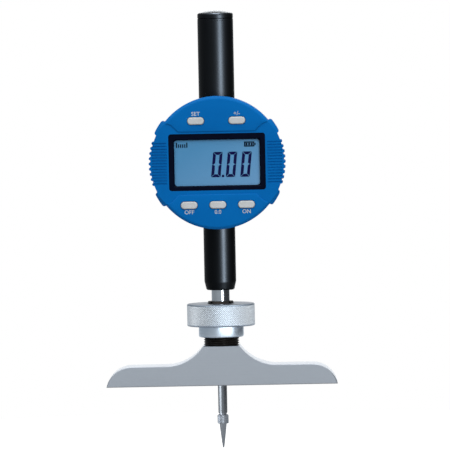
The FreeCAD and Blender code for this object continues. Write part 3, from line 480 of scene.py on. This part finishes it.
def black_oxide():
    material, tree, shader = new_finish("black_oxide", roughness=0.38, metallic=0.6)
    blotch = noise(tree, (420, 420, 420), detail=4.0)
    two_tone(tree, shader, blotch, (0.008, 0.007, 0.0065), (0.034, 0.027, 0.023), 0.75)
    uneven_gloss(tree, shader, blotch, 0.28, 0.5)
    bump(tree, shader, blotch, 0.01 * mm, 0.4)
    return material


def black_plastic():
    material, tree, shader = new_finish("black_plastic", roughness=0.5)
    sparks = noise(tree, (3800, 3800, 3800), detail=2.0)
    cloud = noise(tree, (90, 90, 90))
    two_tone(tree, shader, cloud, (0.020, 0.020, 0.023), (0.034, 0.034, 0.038))
    uneven_gloss(tree, shader, sparks, 0.42, 0.6)
    bump(tree, shader, sparks, 0.03 * mm, 0.5)
    return material


# %% [markdown]
# The head is moulded in blue with a satin surface. A fine spark texture breaks the gloss and a
# soft cloud shifts the blue by a few percent, as the light does over a large moulding.


# %% Blue head
def moulded_blue():
    material, tree, shader = new_finish("moulded_blue", roughness=0.36)
    sparks = noise(tree, (4200, 4200, 4200), detail=2.0)
    cloud = noise(tree, (45, 45, 45))
    two_tone(tree, shader, cloud, (0.0008, 0.126, 0.415), (0.0014, 0.146, 0.46))
    uneven_gloss(tree, shader, sparks, 0.3, 0.44)
    shader.inputs["Specular IOR Level"].default_value = 0.06
    bump(tree, shader, sparks, 0.018 * mm, 0.35)
    return material


def pale_button():
    """Light grey keycaps whose tone drifts between a warmer and a lighter grey in a soft cloud.
    """
    material, tree, shader = new_finish("pale_button", roughness=0.42)
    sparks = noise(tree, (3200, 3200, 3200), detail=2.0)
    cloud = noise(tree, (260, 260, 260))
    two_tone(tree, shader, cloud, (0.56, 0.55, 0.53), (0.63, 0.63, 0.64))
    uneven_gloss(tree, shader, sparks, 0.36, 0.5)
    bump(tree, shader, sparks, 0.01 * mm, 0.3)
    return material


def window_black():
    material, tree, shader = new_finish("window_black", roughness=0.16)
    haze = noise(tree, (220, 220, 220))
    two_tone(tree, shader, haze, (0.0010, 0.0022, 0.010), (0.0016, 0.0038, 0.016))
    uneven_gloss(tree, shader, haze, 0.12, 0.22)
    shader.inputs["Specular IOR Level"].default_value = 0.06
    return material


# %% [markdown]
# The display is a liquid crystal panel: a pale blue with painted light that grows lighter
# towards its lower right corner, and a very fine mesh of cells.


# %% Display and window
def display_blue():
    material, tree, shader = new_finish("display_blue", roughness=0.3)
    cells = noise(tree, (5200, 5200, 5200), detail=1.0)
    sideways, downwards = 25, 45
    # Painted light: the blue grows lighter along a slant towards the lower right corner.
    place = axes(tree, spread(tree, (sideways, 1, -downwards)))
    slant = combine(tree, "ADD", place["X"], place["Z"])
    middle = -downwards * head_centre
    painted_light_share = between(tree, slant, middle - 0.5, middle + 0.9)
    base_colour = ramp(tree, painted_light_share, [(0.0, (0.098, 0.345, 0.63)), (1.0, (0.190, 0.43, 0.73))])
    tint = ramp(tree, cells, [(0.3, (0.96, 0.96, 0.97)), (0.7, white)])
    colour_from(tree, shader, tinted(tree, cells, base_colour, tint))
    return material


def display_ink():
    """Lit segments let almost nothing through, and what is left is a deep violet blue."""
    material, tree, shader = new_finish("display_ink", roughness=0.4)
    grain = noise(tree, (2400, 2400, 2400), detail=1.0)
    two_tone(tree, shader, grain, (0.0035, 0.0035, 0.062), (0.006, 0.006, 0.082))
    shader.inputs["Specular IOR Level"].default_value = 0.1
    return material


def clear_window():
    """Clear plastic: light passes straight through, and only the gloss shows."""
    material, tree, gloss = new_finish("clear_window", roughness=0.05)
    gloss.inputs["Base Color"].default_value = (0.01, 0.012, 0.015, 1.0)
    uneven_gloss(tree, gloss, noise(tree, (160, 160, 160)), 0.03, 0.1)
    through = tree.nodes.new("ShaderNodeBsdfTransparent")
    slant = tree.nodes.new("ShaderNodeLayerWeight").outputs["Facing"]
    shine = ramp(tree, slant, greys([(0.0, 0.04), (0.5, 0.07), (0.8, 0.35), (1.0, 1.0)]))
    both = tree.nodes.new("ShaderNodeMixShader")
    tree.links.new(shine, both.inputs["Fac"])
    tree.links.new(through.outputs["BSDF"], both.inputs[1])
    tree.links.new(gloss.outputs["BSDF"], both.inputs[2])
    tree.links.new(both.outputs["Shader"], tree.nodes["Material Output"].inputs["Surface"])
    return material


# %% [markdown]
# Finishes of the pieces inside: boards, film, brass and rubber. They show only when the case
# is open, and they are made with the same care as the rest.


# %% Inner finishes
def mottled(name, dark, light, roughness, cells, metallic=0.0):
    """A finish of two close colours in a fine cloud."""
    material, tree, shader = new_finish(name, roughness, metallic)
    cloud = noise(tree, (cells, cells, cells))
    two_tone(tree, shader, cloud, dark, light)
    uneven_gloss(tree, shader, cloud, roughness * 0.85, roughness * 1.15)
    bump(tree, shader, cloud, 0.01 * mm, 0.3)
    return material


finishes = {
    "ground_steel": ground_steel(),
    "bright_steel": turned_steel("bright_steel", (0.70, 0.73, 0.77), 0.16),
    "satin_chrome": turned_steel("satin_chrome", (0.72, 0.79, 0.86), 0.3, 4000),
    "black_oxide": black_oxide(),
    "black_gloss": gloss_black(),
    "black_plastic": black_plastic(),
    "blue_plastic": moulded_blue(),
    "pale_button": pale_button(),
    "frame_plastic": window_black(),
    "display_glass": display_blue(),
    "clear_window": clear_window(),
    "brass": mottled("brass", (0.60, 0.42, 0.17), (0.74, 0.56, 0.27), 0.28, 900, 1.0),
    "circuit_board": mottled(
        "circuit_board", (0.012, 0.15, 0.05), (0.02, 0.21, 0.08), 0.35, 700
    ),
    "ribbon": mottled("ribbon", (0.45, 0.22, 0.04), (0.58, 0.32, 0.07), 0.3, 400),
    "rubber": mottled("rubber", (0.035, 0.035, 0.036), (0.055, 0.055, 0.056), 0.7, 1500),
}
print(len(finishes), "finishes")

# %% [markdown]
# Each imported piece names its slot, and its materials are swapped for the finish of that slot.
# The spindle gets a darker and slightly rougher steel than the other bright pieces, a finish of
# its own.

# %% Dress the imported pieces
for name, piece in nodes.items():
    for slot_number, old in enumerate(piece.data.materials):
        key = old.name.split(".")[0]
        if key not in finishes:
            print("no finish for", key, "on", name)
            continue
        piece.data.materials[slot_number] = finishes[key]
nodes["spindle"].data.materials[0] = turned_steel("spindle_steel", (0.365, 0.385, 0.415), 0.2)
print("dressed", len(nodes), "pieces")

# %% [markdown]
# No real edge is perfectly sharp, and it is the narrow light line along an edge that makes a
# small step readable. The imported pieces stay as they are, and three modifiers do the work: one
# joins the corners of neighbouring faces, one dissolves flat triangles into whole faces, and
# one rounds every edge sharper than thirty degrees by a tenth or two of a millimetre.

# %% Rounded edges
edge_sizes = {
    "display_back_plate": 0.16,
    "window_frame": 0.14,
    "base": 0.18,
    "rear_case": 0.2,
    "back_cover": 0.16,
    "battery_lid": 0.14,
    "stem_sleeve": 0.12,
    "handle_tube": 0.12,
}
button_names = [name for name in nodes if name.endswith("_button")]
edge_sizes.update({name: 0.16 for name in button_names})
for name, size in edge_sizes.items():
    piece = nodes[name]
    join = piece.modifiers.new("join_corners", "WELD")
    join.merge_threshold = 0.001 * mm
    dissolve = piece.modifiers.new("whole_faces", "DECIMATE")
    dissolve.decimate_type = "DISSOLVE"
    dissolve.angle_limit = math.radians(0.4)
    rounding = piece.modifiers.new("rounded_edges", "BEVEL")
    rounding.width = size * mm
    rounding.segments = 2
    rounding.limit_method = "ANGLE"
    rounding.angle_limit = math.radians(30)
    shading = piece.modifiers.new("even_shading", "WEIGHTED_NORMAL")
    shading.keep_sharp = True
print("rounded the edges of", len(edge_sizes), "pieces")

# %% [markdown]
# The pieces made here are turned or cut, so a few helpers do most of the work. One turns a row
# of points about the spindle's axis, one cuts flat plates from outlines that face the reader,
# one takes cutters out of a mesh with boolean modifiers, and one dresses a finished mesh and
# lets it ride with the part that it belongs to.


# %% Mesh helpers
def soften(mesh, degrees):
    """Smooth shading, with every edge sharper than the given angle left crisp."""
    maker = bmesh.new()
    maker.from_mesh(mesh)
    for face in maker.faces:
        face.smooth = True
    for edge in maker.edges:
        edge.smooth = edge.calc_face_angle(math.pi) < math.radians(degrees)
    maker.to_mesh(mesh)
    maker.free()


def finished(name, mesh, body, slot, replaced=(), degrees=35, finish=None):
    """A piece from its mesh: dressed, smoothed, and riding on its body."""
    mesh.name = name
    mesh.materials.clear()
    mesh.materials.append(finish or finishes[slot])
    soften(mesh, degrees)
    piece = placed(name, mesh)
    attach(piece, body)
    if replaced:
        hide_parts(*replaced)
    print(name, "has", len(mesh.polygons), "faces")
    return piece


def plain(radius, height):
    """A row of a turned piece with no relief on it; millimetres."""
    return radius, height, 0.0


def rounded_corner(centre_radius, centre_height, size, start, end, steps=3):
    """Rows along a quarter round, from one angle to another."""
    rows = []
    for step in range(steps + 1):
        turn = math.radians(start + (end - start) * step / steps)
        across, up = size * math.cos(turn), size * math.sin(turn)
        rows.append(plain(centre_radius + across, centre_height + up))
    return rows


def knurled_rows(radius, bottom, top, count, cut):
    """Evenly spaced rows of a knurl between two heights, both ends included."""
    rise = top - bottom
    return [(radius, bottom + rise * step / count, cut) for step in range(count + 1)]


def mesh_from(maker, name):
    """The mesh of a bmesh, which is freed."""
    mesh = bpy.data.meshes.new(name)
    maker.to_mesh(mesh)
    maker.free()
    return mesh


def turned_mesh(rows, columns, capped=False):
    """A mesh turned about the spindle's axis from (radius, height, cut) rows.

    Where a row has a cut, every second corner sinks by it and the faces fold along the
    corners that sank. Rows of small pyramids stay up: a diamond knurl.
    """
    maker = bmesh.new()
    rings = []
    for row, (radius, height, cut) in enumerate(rows):
        ring = []
        for column in range(columns):
            turn = 2 * math.pi * column / columns
            reach = radius - (cut if (row + column) % 2 == 0 else 0.0)
            corner = (reach * math.cos(turn) * mm, reach * math.sin(turn) * mm, height * mm)
            ring.append(maker.verts.new(corner))
        rings.append(ring)
    last = len(rings) - 1 if capped else len(rings)
    for row in range(last):
        above_row = (row + 1) % len(rings)
        knurled = rows[row][2] > 0 and rows[above_row][2] > 0
        for column in range(columns):
            ahead = (column + 1) % columns
            one, two = rings[row][column], rings[row][ahead]
            four, three = rings[above_row][column], rings[above_row][ahead]
            if not knurled:
                maker.faces.new((one, two, three, four))
            elif (row + column) % 2 == 0:
                maker.faces.new((one, two, three))
                maker.faces.new((one, three, four))
            else:
                maker.faces.new((one, two, four))
                maker.faces.new((two, three, four))
    if capped:
        maker.faces.new(rings[0])
        maker.faces.new(rings[-1])
    bmesh.ops.recalc_face_normals(maker, faces=maker.faces)
    return mesh_from(maker, "turned")


def box_outline(left, right, bottom, top):
    """The four corners of a rectangle, as (across, up)."""
    return [(left, bottom), (right, bottom), (right, top), (left, top)]


def plates_mesh(outlines, front, back):
    """Flat plates that face the reader, cut from (across, up) outlines in millimetres."""
    maker = bmesh.new()
    for outline in outlines:
        near = [maker.verts.new((x * mm, front * mm, z * mm)) for x, z in outline]
        far = [maker.verts.new((x * mm, back * mm, z * mm)) for x, z in outline]
        maker.faces.new(near)
        maker.faces.new(far)
        for here in range(len(outline)):
            ahead = (here + 1) % len(outline)
            maker.faces.new((near[here], near[ahead], far[ahead], far[here]))
    bmesh.ops.recalc_face_normals(maker, faces=maker.faces)
    return mesh_from(maker, "plates")


def seen_mesh(thing):
    """The mesh of an object as Blender shows it, with its modifiers applied."""
    bpy.context.view_layer.update()
    shown = thing.evaluated_get(bpy.context.evaluated_depsgraph_get())
    return bpy.data.meshes.new_from_object(shown)


def cut_away(mesh, cutters):
    """A mesh with the cutters taken out of it; the cutters go when it is done."""
    blank = placed("blank", mesh)
    for cutter in cutters:
        cut = blank.modifiers.new("cut", "BOOLEAN")
        cut.operation = "DIFFERENCE"
        cut.solver = "EXACT"
        cut.object = cutter
    result = seen_mesh(blank)
    for helper in (blank, *cutters):
        bpy.data.objects.remove(helper)
    return result


print("mesh helpers ready")

# %% [markdown]
# The head's moulding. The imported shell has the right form, but a moulded part has rounded tips
# and soft steps. A copy of the shell is taken, its flat triangles are dissolved into whole
# faces, and three groups of edges are rounded, each by its own size: the corners of the ears,
# the steps between the fields of the face, and the rest by a touch.

# %% Moulded housing
ear_corner = 0.75
step_rounding = 0.46
touch = 0.12
ear_reach = 30.0
window_fields = 13.2
round_face = 28.4
least_bend = 25
button_margin = 0.6
shell_mesh = nodes["display_housing"].data.copy()
maker = bmesh.new()
maker.from_mesh(shell_mesh)
bmesh.ops.remove_doubles(maker, verts=maker.verts, dist=0.001 * mm)
bmesh.ops.dissolve_limit(
    maker, angle_limit=math.radians(0.4), verts=maker.verts, edges=maker.edges
)
button_boxes = [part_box(name) for name in button_names]


def in_a_button(corner):
    """Whether a point of the face lies at the rim of a button's opening."""
    margin = button_margin * mm
    return any(
        start.x - margin < corner.x < end.x + margin
        and start.z - margin < corner.z < end.z + margin
        for start, end in button_boxes
    )


def edge_group(edge):
    """Which rounding an edge of the shell gets: ear, step, touch or none."""
    if len(edge.link_faces) != 2 or edge.calc_face_angle(0) < math.radians(least_bend):
        return "none"
    one, other = (vertex.co for vertex in edge.verts)
    middle = (one + other) / 2
    reach = math.hypot(middle.x, middle.z - head_centre)
    upright = abs(one.y - other.y) > 0.9 * (one - other).length
    if upright and reach > ear_reach * mm and edge.is_convex:
        return "ear"
    if max(abs(one.y - face_front), abs(other.y - face_front)) > 0.02 * mm:
        return "none"
    if in_a_button(one) and in_a_button(other):
        return "touch"
    if abs(middle.z - head_centre) > window_fields * mm and reach < round_face * mm:
        return "step"
    return "touch"


for wanted, size, segments in (
    ("ear", ear_corner, 4),
    ("step", step_rounding, 3),
    ("touch", touch, 1),
):
    chosen = [edge for edge in maker.edges if edge_group(edge) == wanted]
    print(wanted, "edges:", len(chosen))
    bmesh.ops.bevel(
        maker,
        geom=chosen,
        offset=size * mm,
        segments=segments,
        profile=0.5,
        affect="EDGES",
        clamp_overlap=False,
    )
maker.to_mesh(shell_mesh)
maker.free()

# %% [markdown]
# At both sides of the window the face slopes back to the grips, and fingers find fifteen fine
# grooves there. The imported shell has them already. Here they begin a little further in, so that
# they still read from far away. The cutter is a set of convex blocks whose floors follow the
# slope, and a boolean modifier takes them out of the shell.

# %% Grip grooves
slope_start, slope_front, slope_fall = 22.59, -21.5, 0.203
rib_pitch = 1.25
rib_cuts = 15
rib_width = 0.6
rib_depth = 0.37
rib_start, rib_end = 21.9, 28.3
before_face = -23.0
cutter = bmesh.new()
for side in (-1, 1):
    for rib in range(rib_cuts):
        middle_up = (rib - (rib_cuts - 1) / 2) * rib_pitch
        block = []
        for across in (rib_start, rib_end):
            rib_floor = slope_front + slope_fall * (across - slope_start) + rib_depth
            for depth in (before_face, rib_floor):
                for half in (-rib_width / 2, rib_width / 2):
                    up = middle_up + half + head_centre / mm
                    block.append(cutter.verts.new(Vector((side * across, depth, up)) * mm))
        bmesh.ops.convex_hull(cutter, input=block)
rib_cutter = placed("rib_cutter", mesh_from(cutter, "rib_cutter"))
ribbed_mesh = cut_away(shell_mesh, [rib_cutter])
finished(
    "moulded_housing", ribbed_mesh, "display_head", "blue_plastic", ("display_housing",), 32
)

# %% [markdown]
# The cap of the handle is a low dome with a soft rim. A fine groove marks where it meets the
# tube; it is turned like the nut.

# %% Domed cap
cap_radius = high("handle_tube").x / mm
tube_high = high("handle_tube").z / mm
cap_low = low("handle_cap").z / mm
cap_top = high("handle_cap").z / mm
cap_foot = cap_top - 3.3
cap_rim = 0.9
cap_plug = 6.9
cap_edge = cap_radius - 0.02
groove_half, groove_depth = 0.15, 0.35
dome_rise = 1.0
dome_steps = 8
pin_hole = 0.05
dome_rows = []
for step in range(dome_steps):
    share = 1 - step / dome_steps
    dome_rows.append(plain((cap_radius - cap_rim) * share, cap_top - dome_rise * share**2))
cap_rows = [
    plain(pin_hole, cap_low),
    plain(cap_plug, cap_low),
    plain(cap_plug, tube_high),
    plain(cap_edge, tube_high),
    plain(cap_edge, cap_foot - 2 * groove_half),
    plain(cap_radius - groove_depth, cap_foot - groove_half),
    plain(cap_edge, cap_foot),
    *rounded_corner(cap_edge - cap_rim, cap_top - dome_rise - cap_rim, cap_rim, 0, 60, 5),
    *dome_rows,
    plain(pin_hole, cap_top),
]
cap_mesh = turned_mesh(cap_rows, 96)
cap_piece = finished("domed_cap", cap_mesh, "indicator", "black_gloss", ("handle_cap",), 40)

# %% [markdown]
# The clamp nut. On the real one a pair of knurling wheels rolls a diamond pattern into the rim,
# with grooves that cross every 0.87 mm. Bump alone would leave the rim's outline smooth, so
# the diamonds are real pyramids: 108 round the rim and ten up it. The corners of the wheel
# are turned round, the flange below it is left smooth, and the bore narrows to the cone that
# closes the collet.

# %% Clamp nut
nut_low = low("clamp_nut").z / mm
nut_high = high("clamp_nut").z / mm
nut_diamonds = 108
nut_knurl_steps = 20
nut_knurl_depth = 0.30
wheel_radius = high("clamp_nut").x / mm + 0.2
wheel_low = nut_low + 4.9
wheel_corner = 0.6
corner_radius = wheel_radius - wheel_corner
knurl_low = wheel_low + wheel_corner
knurl_high = nut_high - wheel_corner
flange_radius = 9.9
flange_corner = 0.7
neck_flare = 0.25
nut_bore = 7.86
mouth_radius, mouth_bevel = 5.83, 0.37
cone_radius = 6.95
cone_foot = nut_high - 4.4
nut_rows = [
    plain(nut_bore, nut_low),
    *rounded_corner(
        flange_radius - flange_corner, nut_low + flange_corner, flange_corner, -90, 0
    ),
    plain(flange_radius, wheel_low - neck_flare),
    plain(flange_radius + neck_flare, wheel_low),
    *rounded_corner(corner_radius, knurl_low, wheel_corner, -90, -10, 5),
    *knurled_rows(wheel_radius, knurl_low, knurl_high, nut_knurl_steps, nut_knurl_depth),
    *rounded_corner(corner_radius, knurl_high, wheel_corner, 10, 90, 5),
    plain(mouth_radius + mouth_bevel, nut_high),
    plain(mouth_radius, nut_high - mouth_bevel),
    plain(cone_radius, cone_foot),
    plain(nut_bore, cone_foot),
]
nut_mesh = turned_mesh(nut_rows, 2 * nut_diamonds)
nut_knurl = [size * mm for size in (wheel_radius, nut_knurl_depth, knurl_low, knurl_high)]
nut_finish = turned_steel("knurled_chrome", (0.90, 0.94, 0.98), 0.36, 4000, nut_knurl)
nut_piece = finished(
    "knurled_clamp_nut", nut_mesh, "nut", "satin_chrome", ("clamp_nut",), 20, nut_finish
)

# %% [markdown]
# The collet. Its thread is a real helix: the radius rises and falls with the height, and the
# height it is counted from climbs one pitch in each turn, so the crests meet the outline at
# different heights left and right. Two saw cuts make the four springy fingers.

# %% Collet
collet_high = high("collet").z / mm
thread_low = high("base").z / mm
thread_high = thread_low + 4.5
thread_pitch = 1.0
thread_radius = 7.8
thread_depth = 0.55
thread_rows_per_pitch = 10
thread_columns = 96
collet_foot = low("collet").z / mm
bore_floor = collet_high - 24.7
foot_radius = 6.3
spindle_bore = 3.1
stem_bore = 4.03
lead_in = 0.15
cone_low_radius, cone_high_radius = 6.8, 5.55
shoulder_drop, cone_drop = 6.05, 5.5
thread_steepness, thread_crest = 1.35, 0.2


def thread_cut(height, turn_share):
    """How deep the thread is at a height, for a share of one full turn."""
    phase = ((height - thread_low) / thread_pitch - turn_share) % 1.0
    valley = 1.0 - abs(2.0 * phase - 1.0)
    return thread_depth * min(max(thread_steepness * valley - thread_crest, 0.0), 1.0)


def threaded_mesh(rows, columns):
    """A turned mesh whose rows between the ends of the thread carry the helix."""
    mesh = turned_mesh(rows, columns)
    for vertex in mesh.vertices:
        height = vertex.co.z / mm
        reach = math.hypot(vertex.co.x, vertex.co.y) / mm
        if reach < thread_radius - 0.01 or not thread_low <= height <= thread_high:
            continue
        share = (math.atan2(vertex.co.y, vertex.co.x) / (2 * math.pi)) % 1.0
        narrow = 1.0 - thread_cut(height, share) / reach
        vertex.co.x *= narrow
        vertex.co.y *= narrow
    return mesh


thread_steps = round((thread_high - thread_low) * thread_rows_per_pitch / thread_pitch)
collet_rows = [
    plain(spindle_bore, collet_foot),
    plain(foot_radius, collet_foot),
    plain(foot_radius, thread_low),
    *knurled_rows(thread_radius, thread_low, thread_high, thread_steps, 0.0),
    plain(thread_radius, collet_high - shoulder_drop),
    plain(cone_low_radius, collet_high - cone_drop),
    plain(cone_high_radius, collet_high - lead_in),
    plain(cone_high_radius - lead_in, collet_high),
    plain(stem_bore + lead_in, collet_high),
    plain(stem_bore, collet_high - lead_in),
    plain(stem_bore, bore_floor),
    plain(spindle_bore, bore_floor),
]
collet_mesh = threaded_mesh(collet_rows, thread_columns)

saw_width = 1.0
saw_floor = collet_high - 12.0
saw_reach = thread_radius + 1.0
saw_outline = box_outline(-saw_width / 2, saw_width / 2, saw_floor, collet_high + 1)
saws = []
for angle in (45, 135):
    saw = placed("saw", plates_mesh([saw_outline], -saw_reach, saw_reach))
    saw.rotation_euler.z = math.radians(angle)
    saws.append(saw)
sawn_mesh = cut_away(collet_mesh, saws)
collet_piece = finished(
    "slotted_collet", sawn_mesh, "base_body", "black_oxide", ("collet",), 40
)

# %% [markdown]
# The contact point. A small collar with its own finer knurl, turned down to a long needle. The
# needle is drawn with a few rows so that its sides can swell very slightly, as a ground point
# does, and its tip keeps a small flat.

# %% Contact point
tip_low = lowest / mm
needle_length = 10.6
collar_low = tip_low + needle_length
collar_high = collar_low + 4.0
collar_radius = high("contact_point").x / mm
collar_corner = 0.3
collar_diamonds = 24
collar_knurl_steps, collar_knurl_depth = 10, 0.14
hub_radius, hub_height = 1.7, 0.7
shank_radius = 1.25
needle_root = 1.6
needle_tip = 0.3
needle_swell = 0.04
needle_steps = 6
needle_rows = []
for step in range(needle_steps + 1):
    share = step / needle_steps
    swell = needle_swell * math.sin(math.pi * share)
    reach = needle_tip + (needle_root - needle_tip) * share + swell
    needle_rows.append(plain(reach, tip_low + needle_length * share))
knurl_low = collar_low + collar_corner
knurl_high = collar_high - collar_corner
point_rows = [
    *needle_rows,
    plain(collar_radius - collar_corner, collar_low),
    *knurled_rows(
        collar_radius, knurl_low, knurl_high, collar_knurl_steps, collar_knurl_depth
    ),
    plain(collar_radius - collar_corner, collar_high),
    plain(hub_radius, collar_high),
    plain(hub_radius, collar_high + hub_height),
    plain(shank_radius, collar_high + hub_height),
    plain(shank_radius, high("contact_point").z / mm),
]
point_mesh = turned_mesh(point_rows, 2 * collar_diamonds, capped=True)
shiny = turned_steel("point_steel", (0.50, 0.53, 0.58), 0.2)
point_piece = finished(
    "needle_point", point_mesh, "spindle_body", "bright_steel", ("contact_point",), 30, shiny
)

# %% [markdown]
# The window pane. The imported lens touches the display, so a slightly thinner pane takes its
# place. A gap of a fifth of a millimetre stays behind it, as in the real window, and the
# segments of the display lie in that gap.

# %% Window pane
lens_low = low("window_lens") / mm
lens_high = high("window_lens") / mm
pane_gap = 0.2
pane_corner = 0.9


def rounded_outline(left, right, bottom, top, corner, steps=5):
    """Points round a rectangle with rounded corners, as (across, up)."""
    points = []
    for centre_x, centre_z, start in (
        (right - corner, top - corner, 0),
        (left + corner, top - corner, 90),
        (left + corner, bottom + corner, 180),
        (right - corner, bottom + corner, 270),
    ):
        for step in range(steps + 1):
            turn = math.radians(start + 90 * step / steps)
            across, up = corner * math.cos(turn), corner * math.sin(turn)
            points.append((centre_x + across, centre_z + up))
    return points


pane_outline = rounded_outline(lens_low.x, lens_high.x, lens_low.z, lens_high.z, pane_corner)
pane_mesh = plates_mesh([pane_outline], lens_low.y, lens_high.y - pane_gap)
finished("window_pane", pane_mesh, "display_head", "clear_window", ("window_lens",))

# %% [markdown]
# The reading on the display. Each figure of a liquid crystal display has seven segments with
# mitred ends and a hair's gap between them, and leans a few degrees. A nought lights all but
# the middle one.

# %% Display figures
centre_up = (low("lcd_panel").z + high("lcd_panel").z) / 2 / mm
glass_front = low("lcd_panel").y / mm
segment_front = glass_front - 0.06
segment_back = glass_front + 0.02
figure_width = 4.1
figure_height = 11.0
figure_stroke = 1.26
figure_gap = 0.14
figure_lean = math.tan(math.radians(6))
figure_pitch = 6.36
figure_left = -2.75
figure_bottom = centre_up - 6.7


def nought_segments():
    """Outlines of the six lit segments in a box that starts at zero."""
    wide, tall, thick, gap = figure_width, figure_height, figure_stroke, figure_gap
    middle = tall / 2
    side_segment = [
        (0, tall - gap),
        (thick, tall - thick - gap),
        (thick, middle + thick / 2),
        (thick / 2, middle + gap / 2),
        (0, middle + gap / 2),
    ]
    upper = [
        [
            (gap, tall),
            (wide - gap, tall),
            (wide - thick - gap, tall - thick),
            (thick + gap, tall - thick),
        ],
        side_segment,
        [(wide - x, z) for x, z in side_segment],
    ]
    lower = [[(x, tall - z) for x, z in outline] for outline in upper]
    return upper + lower


def leaning(outline, left, bottom):
    """An outline moved to its place, leaning like a figure."""
    return [(left + x + z * figure_lean, bottom + z) for x, z in outline]


figures = []
for place in range(3):
    figure_place = figure_left + place * figure_pitch
    for outline in nought_segments():
        figures.append(leaning(outline, figure_place, figure_bottom))
decimal_size = 1.0
decimal_left = figure_left + figure_width + 0.55
decimal_outline = box_outline(0, decimal_size, 0, decimal_size)
figures.append(leaning(decimal_outline, decimal_left, figure_bottom))
figure_mesh = plates_mesh(figures, segment_front, segment_back)
finished("display_figures", figure_mesh, "display_head", "frame_plastic", finish=display_ink())

# %% [markdown]
# Two small signs share the top row of the display: a scale mark at the left and the outline of
# a battery at the right, each cut from plain strips like the figures.

# %% Display signs
sign_top = centre_up + 8.6
sign_bottom = centre_up + 6.4
sign_stroke = 0.5
scale_left, scale_pitch, scale_strips = -17.8, 0.9, 6
short_strip = 0.7
signs = []
for strip in range(scale_strips):
    strip_left = scale_left + scale_pitch * strip
    strip_top = sign_top if strip in (0, scale_strips - 1) else sign_top - short_strip
    signs.append(box_outline(strip_left, strip_left + sign_stroke, sign_bottom, strip_top))
battery_left, battery_right = 11.9, 16.4
inner_left, inner_right = battery_left + sign_stroke, battery_right - sign_stroke
inner_bottom, inner_top = sign_bottom + sign_stroke, sign_top - sign_stroke
bar_bottom, bar_top = sign_bottom + 0.6, sign_top - 0.6
bar_inset, bar_pitch, bar_width = 0.65, 1.15, 0.8
signs += [
    box_outline(battery_left, battery_right, inner_top, sign_top),
    box_outline(battery_left, battery_right, sign_bottom, inner_bottom),
    box_outline(battery_left, inner_left, inner_bottom, inner_top),
    box_outline(inner_right, battery_right, inner_bottom, inner_top),
    box_outline(battery_right + 0.1, battery_right + 0.5, bar_bottom, bar_top),
]
for bar in range(3):
    bar_left = battery_left + bar_inset + bar_pitch * bar
    signs.append(box_outline(bar_left, bar_left + bar_width, bar_bottom, bar_top))
sign_mesh = plates_mesh(signs, segment_front, segment_back)
finished("display_signs", sign_mesh, "display_head", "frame_plastic")

# %% [markdown]
# The marks printed by the buttons. Pad printing leaves a thin raised film, so each mark is a
# letter shape from Blender's own font, turned into a mesh three hundredths of a millimetre
# proud of the face. They are plain signs of the kind any gauge carries.

# %% Button marks
print_proud = 0.03
print_sunk = 0.04
mark_height = 1.75
letter_share = 0.72
mark_rise, mark_drop = 3.0, -3.1


def printed_mark(words, across, up):
    """One printed mark, centred on a place of the face; millimetres."""
    curve = bpy.data.curves.new("mark", "FONT")
    curve.body = words
    curve.size = mark_height / letter_share * mm
    curve.align_x = "CENTER"
    curve.align_y = "CENTER"
    curve.extrude = (print_proud + print_sunk) / 2 * mm
    curve.offset = 0.02 * mm
    curve.resolution_u = 4
    sketch = placed("mark", curve)
    mesh = seen_mesh(sketch)
    bpy.data.objects.remove(sketch)
    middle = face_front / mm - (print_proud - print_sunk) / 2
    stand = Matrix.Rotation(math.radians(90), 4, "X")
    mesh.transform(Matrix.Translation(Vector((across, middle, up)) * mm) @ stand)
    return mesh


for place, words, offset in (
    ("upper_left", "SET", mark_rise),
    ("upper_right", "+/-", mark_rise),
    ("lower_left", "OFF", mark_drop),
    ("lower_middle", "0.0", mark_drop),
    ("lower_right", "ON", mark_drop),
):
    middle = (low(place + "_button") + high(place + "_button")) / 2 / mm
    mark_mesh = printed_mark(words, middle.x, middle.z + offset)
    finished(place + "_mark", mark_mesh, "display_head", "pale_button", degrees=50)

# %% [markdown]
# A photographer keeps a strip light off the parts that it would flatten with black cards. Here
# each strip is simply linked to the pieces that it may reach, and only their gloss sees it.


# %% Flags
def flag(lamp, pieces):
    """Let only these pieces, and only their gloss, see a lamp."""
    reached = bpy.data.collections.new(lamp.name + "_reach")
    for piece in pieces:
        reached.objects.link(piece)
    lamp.visible_diffuse = False
    lamp.light_linking.receiver_collection = reached


tubes = [nodes["handle_tube"], cap_piece, nodes["stem_sleeve"]]
for lamp in (tube_stripe, tube_top, back_stripe):
    flag(lamp, tubes)
flag(stem_stripe, [nodes["stem_tube"], collet_piece])
for lamp in (nut_box, nut_stripe):
    flag(lamp, [nut_piece])
flag(rod_stripe, [nodes["spindle"], point_piece])
for lamp in (base_box, rim_box):
    flag(lamp, [nodes["base"]])
print("lamps flagged")

# %% Finish
boxes = {
    name: [list(map(float, corner)) for corner in bounds]
    for name, bounds in (("cad", cad_bounds), ("visual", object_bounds()))
}
growth = zip(boxes["cad"][1], boxes["visual"][1])
print("box grew by", [round((after - before) / mm, 3) for before, after in growth])
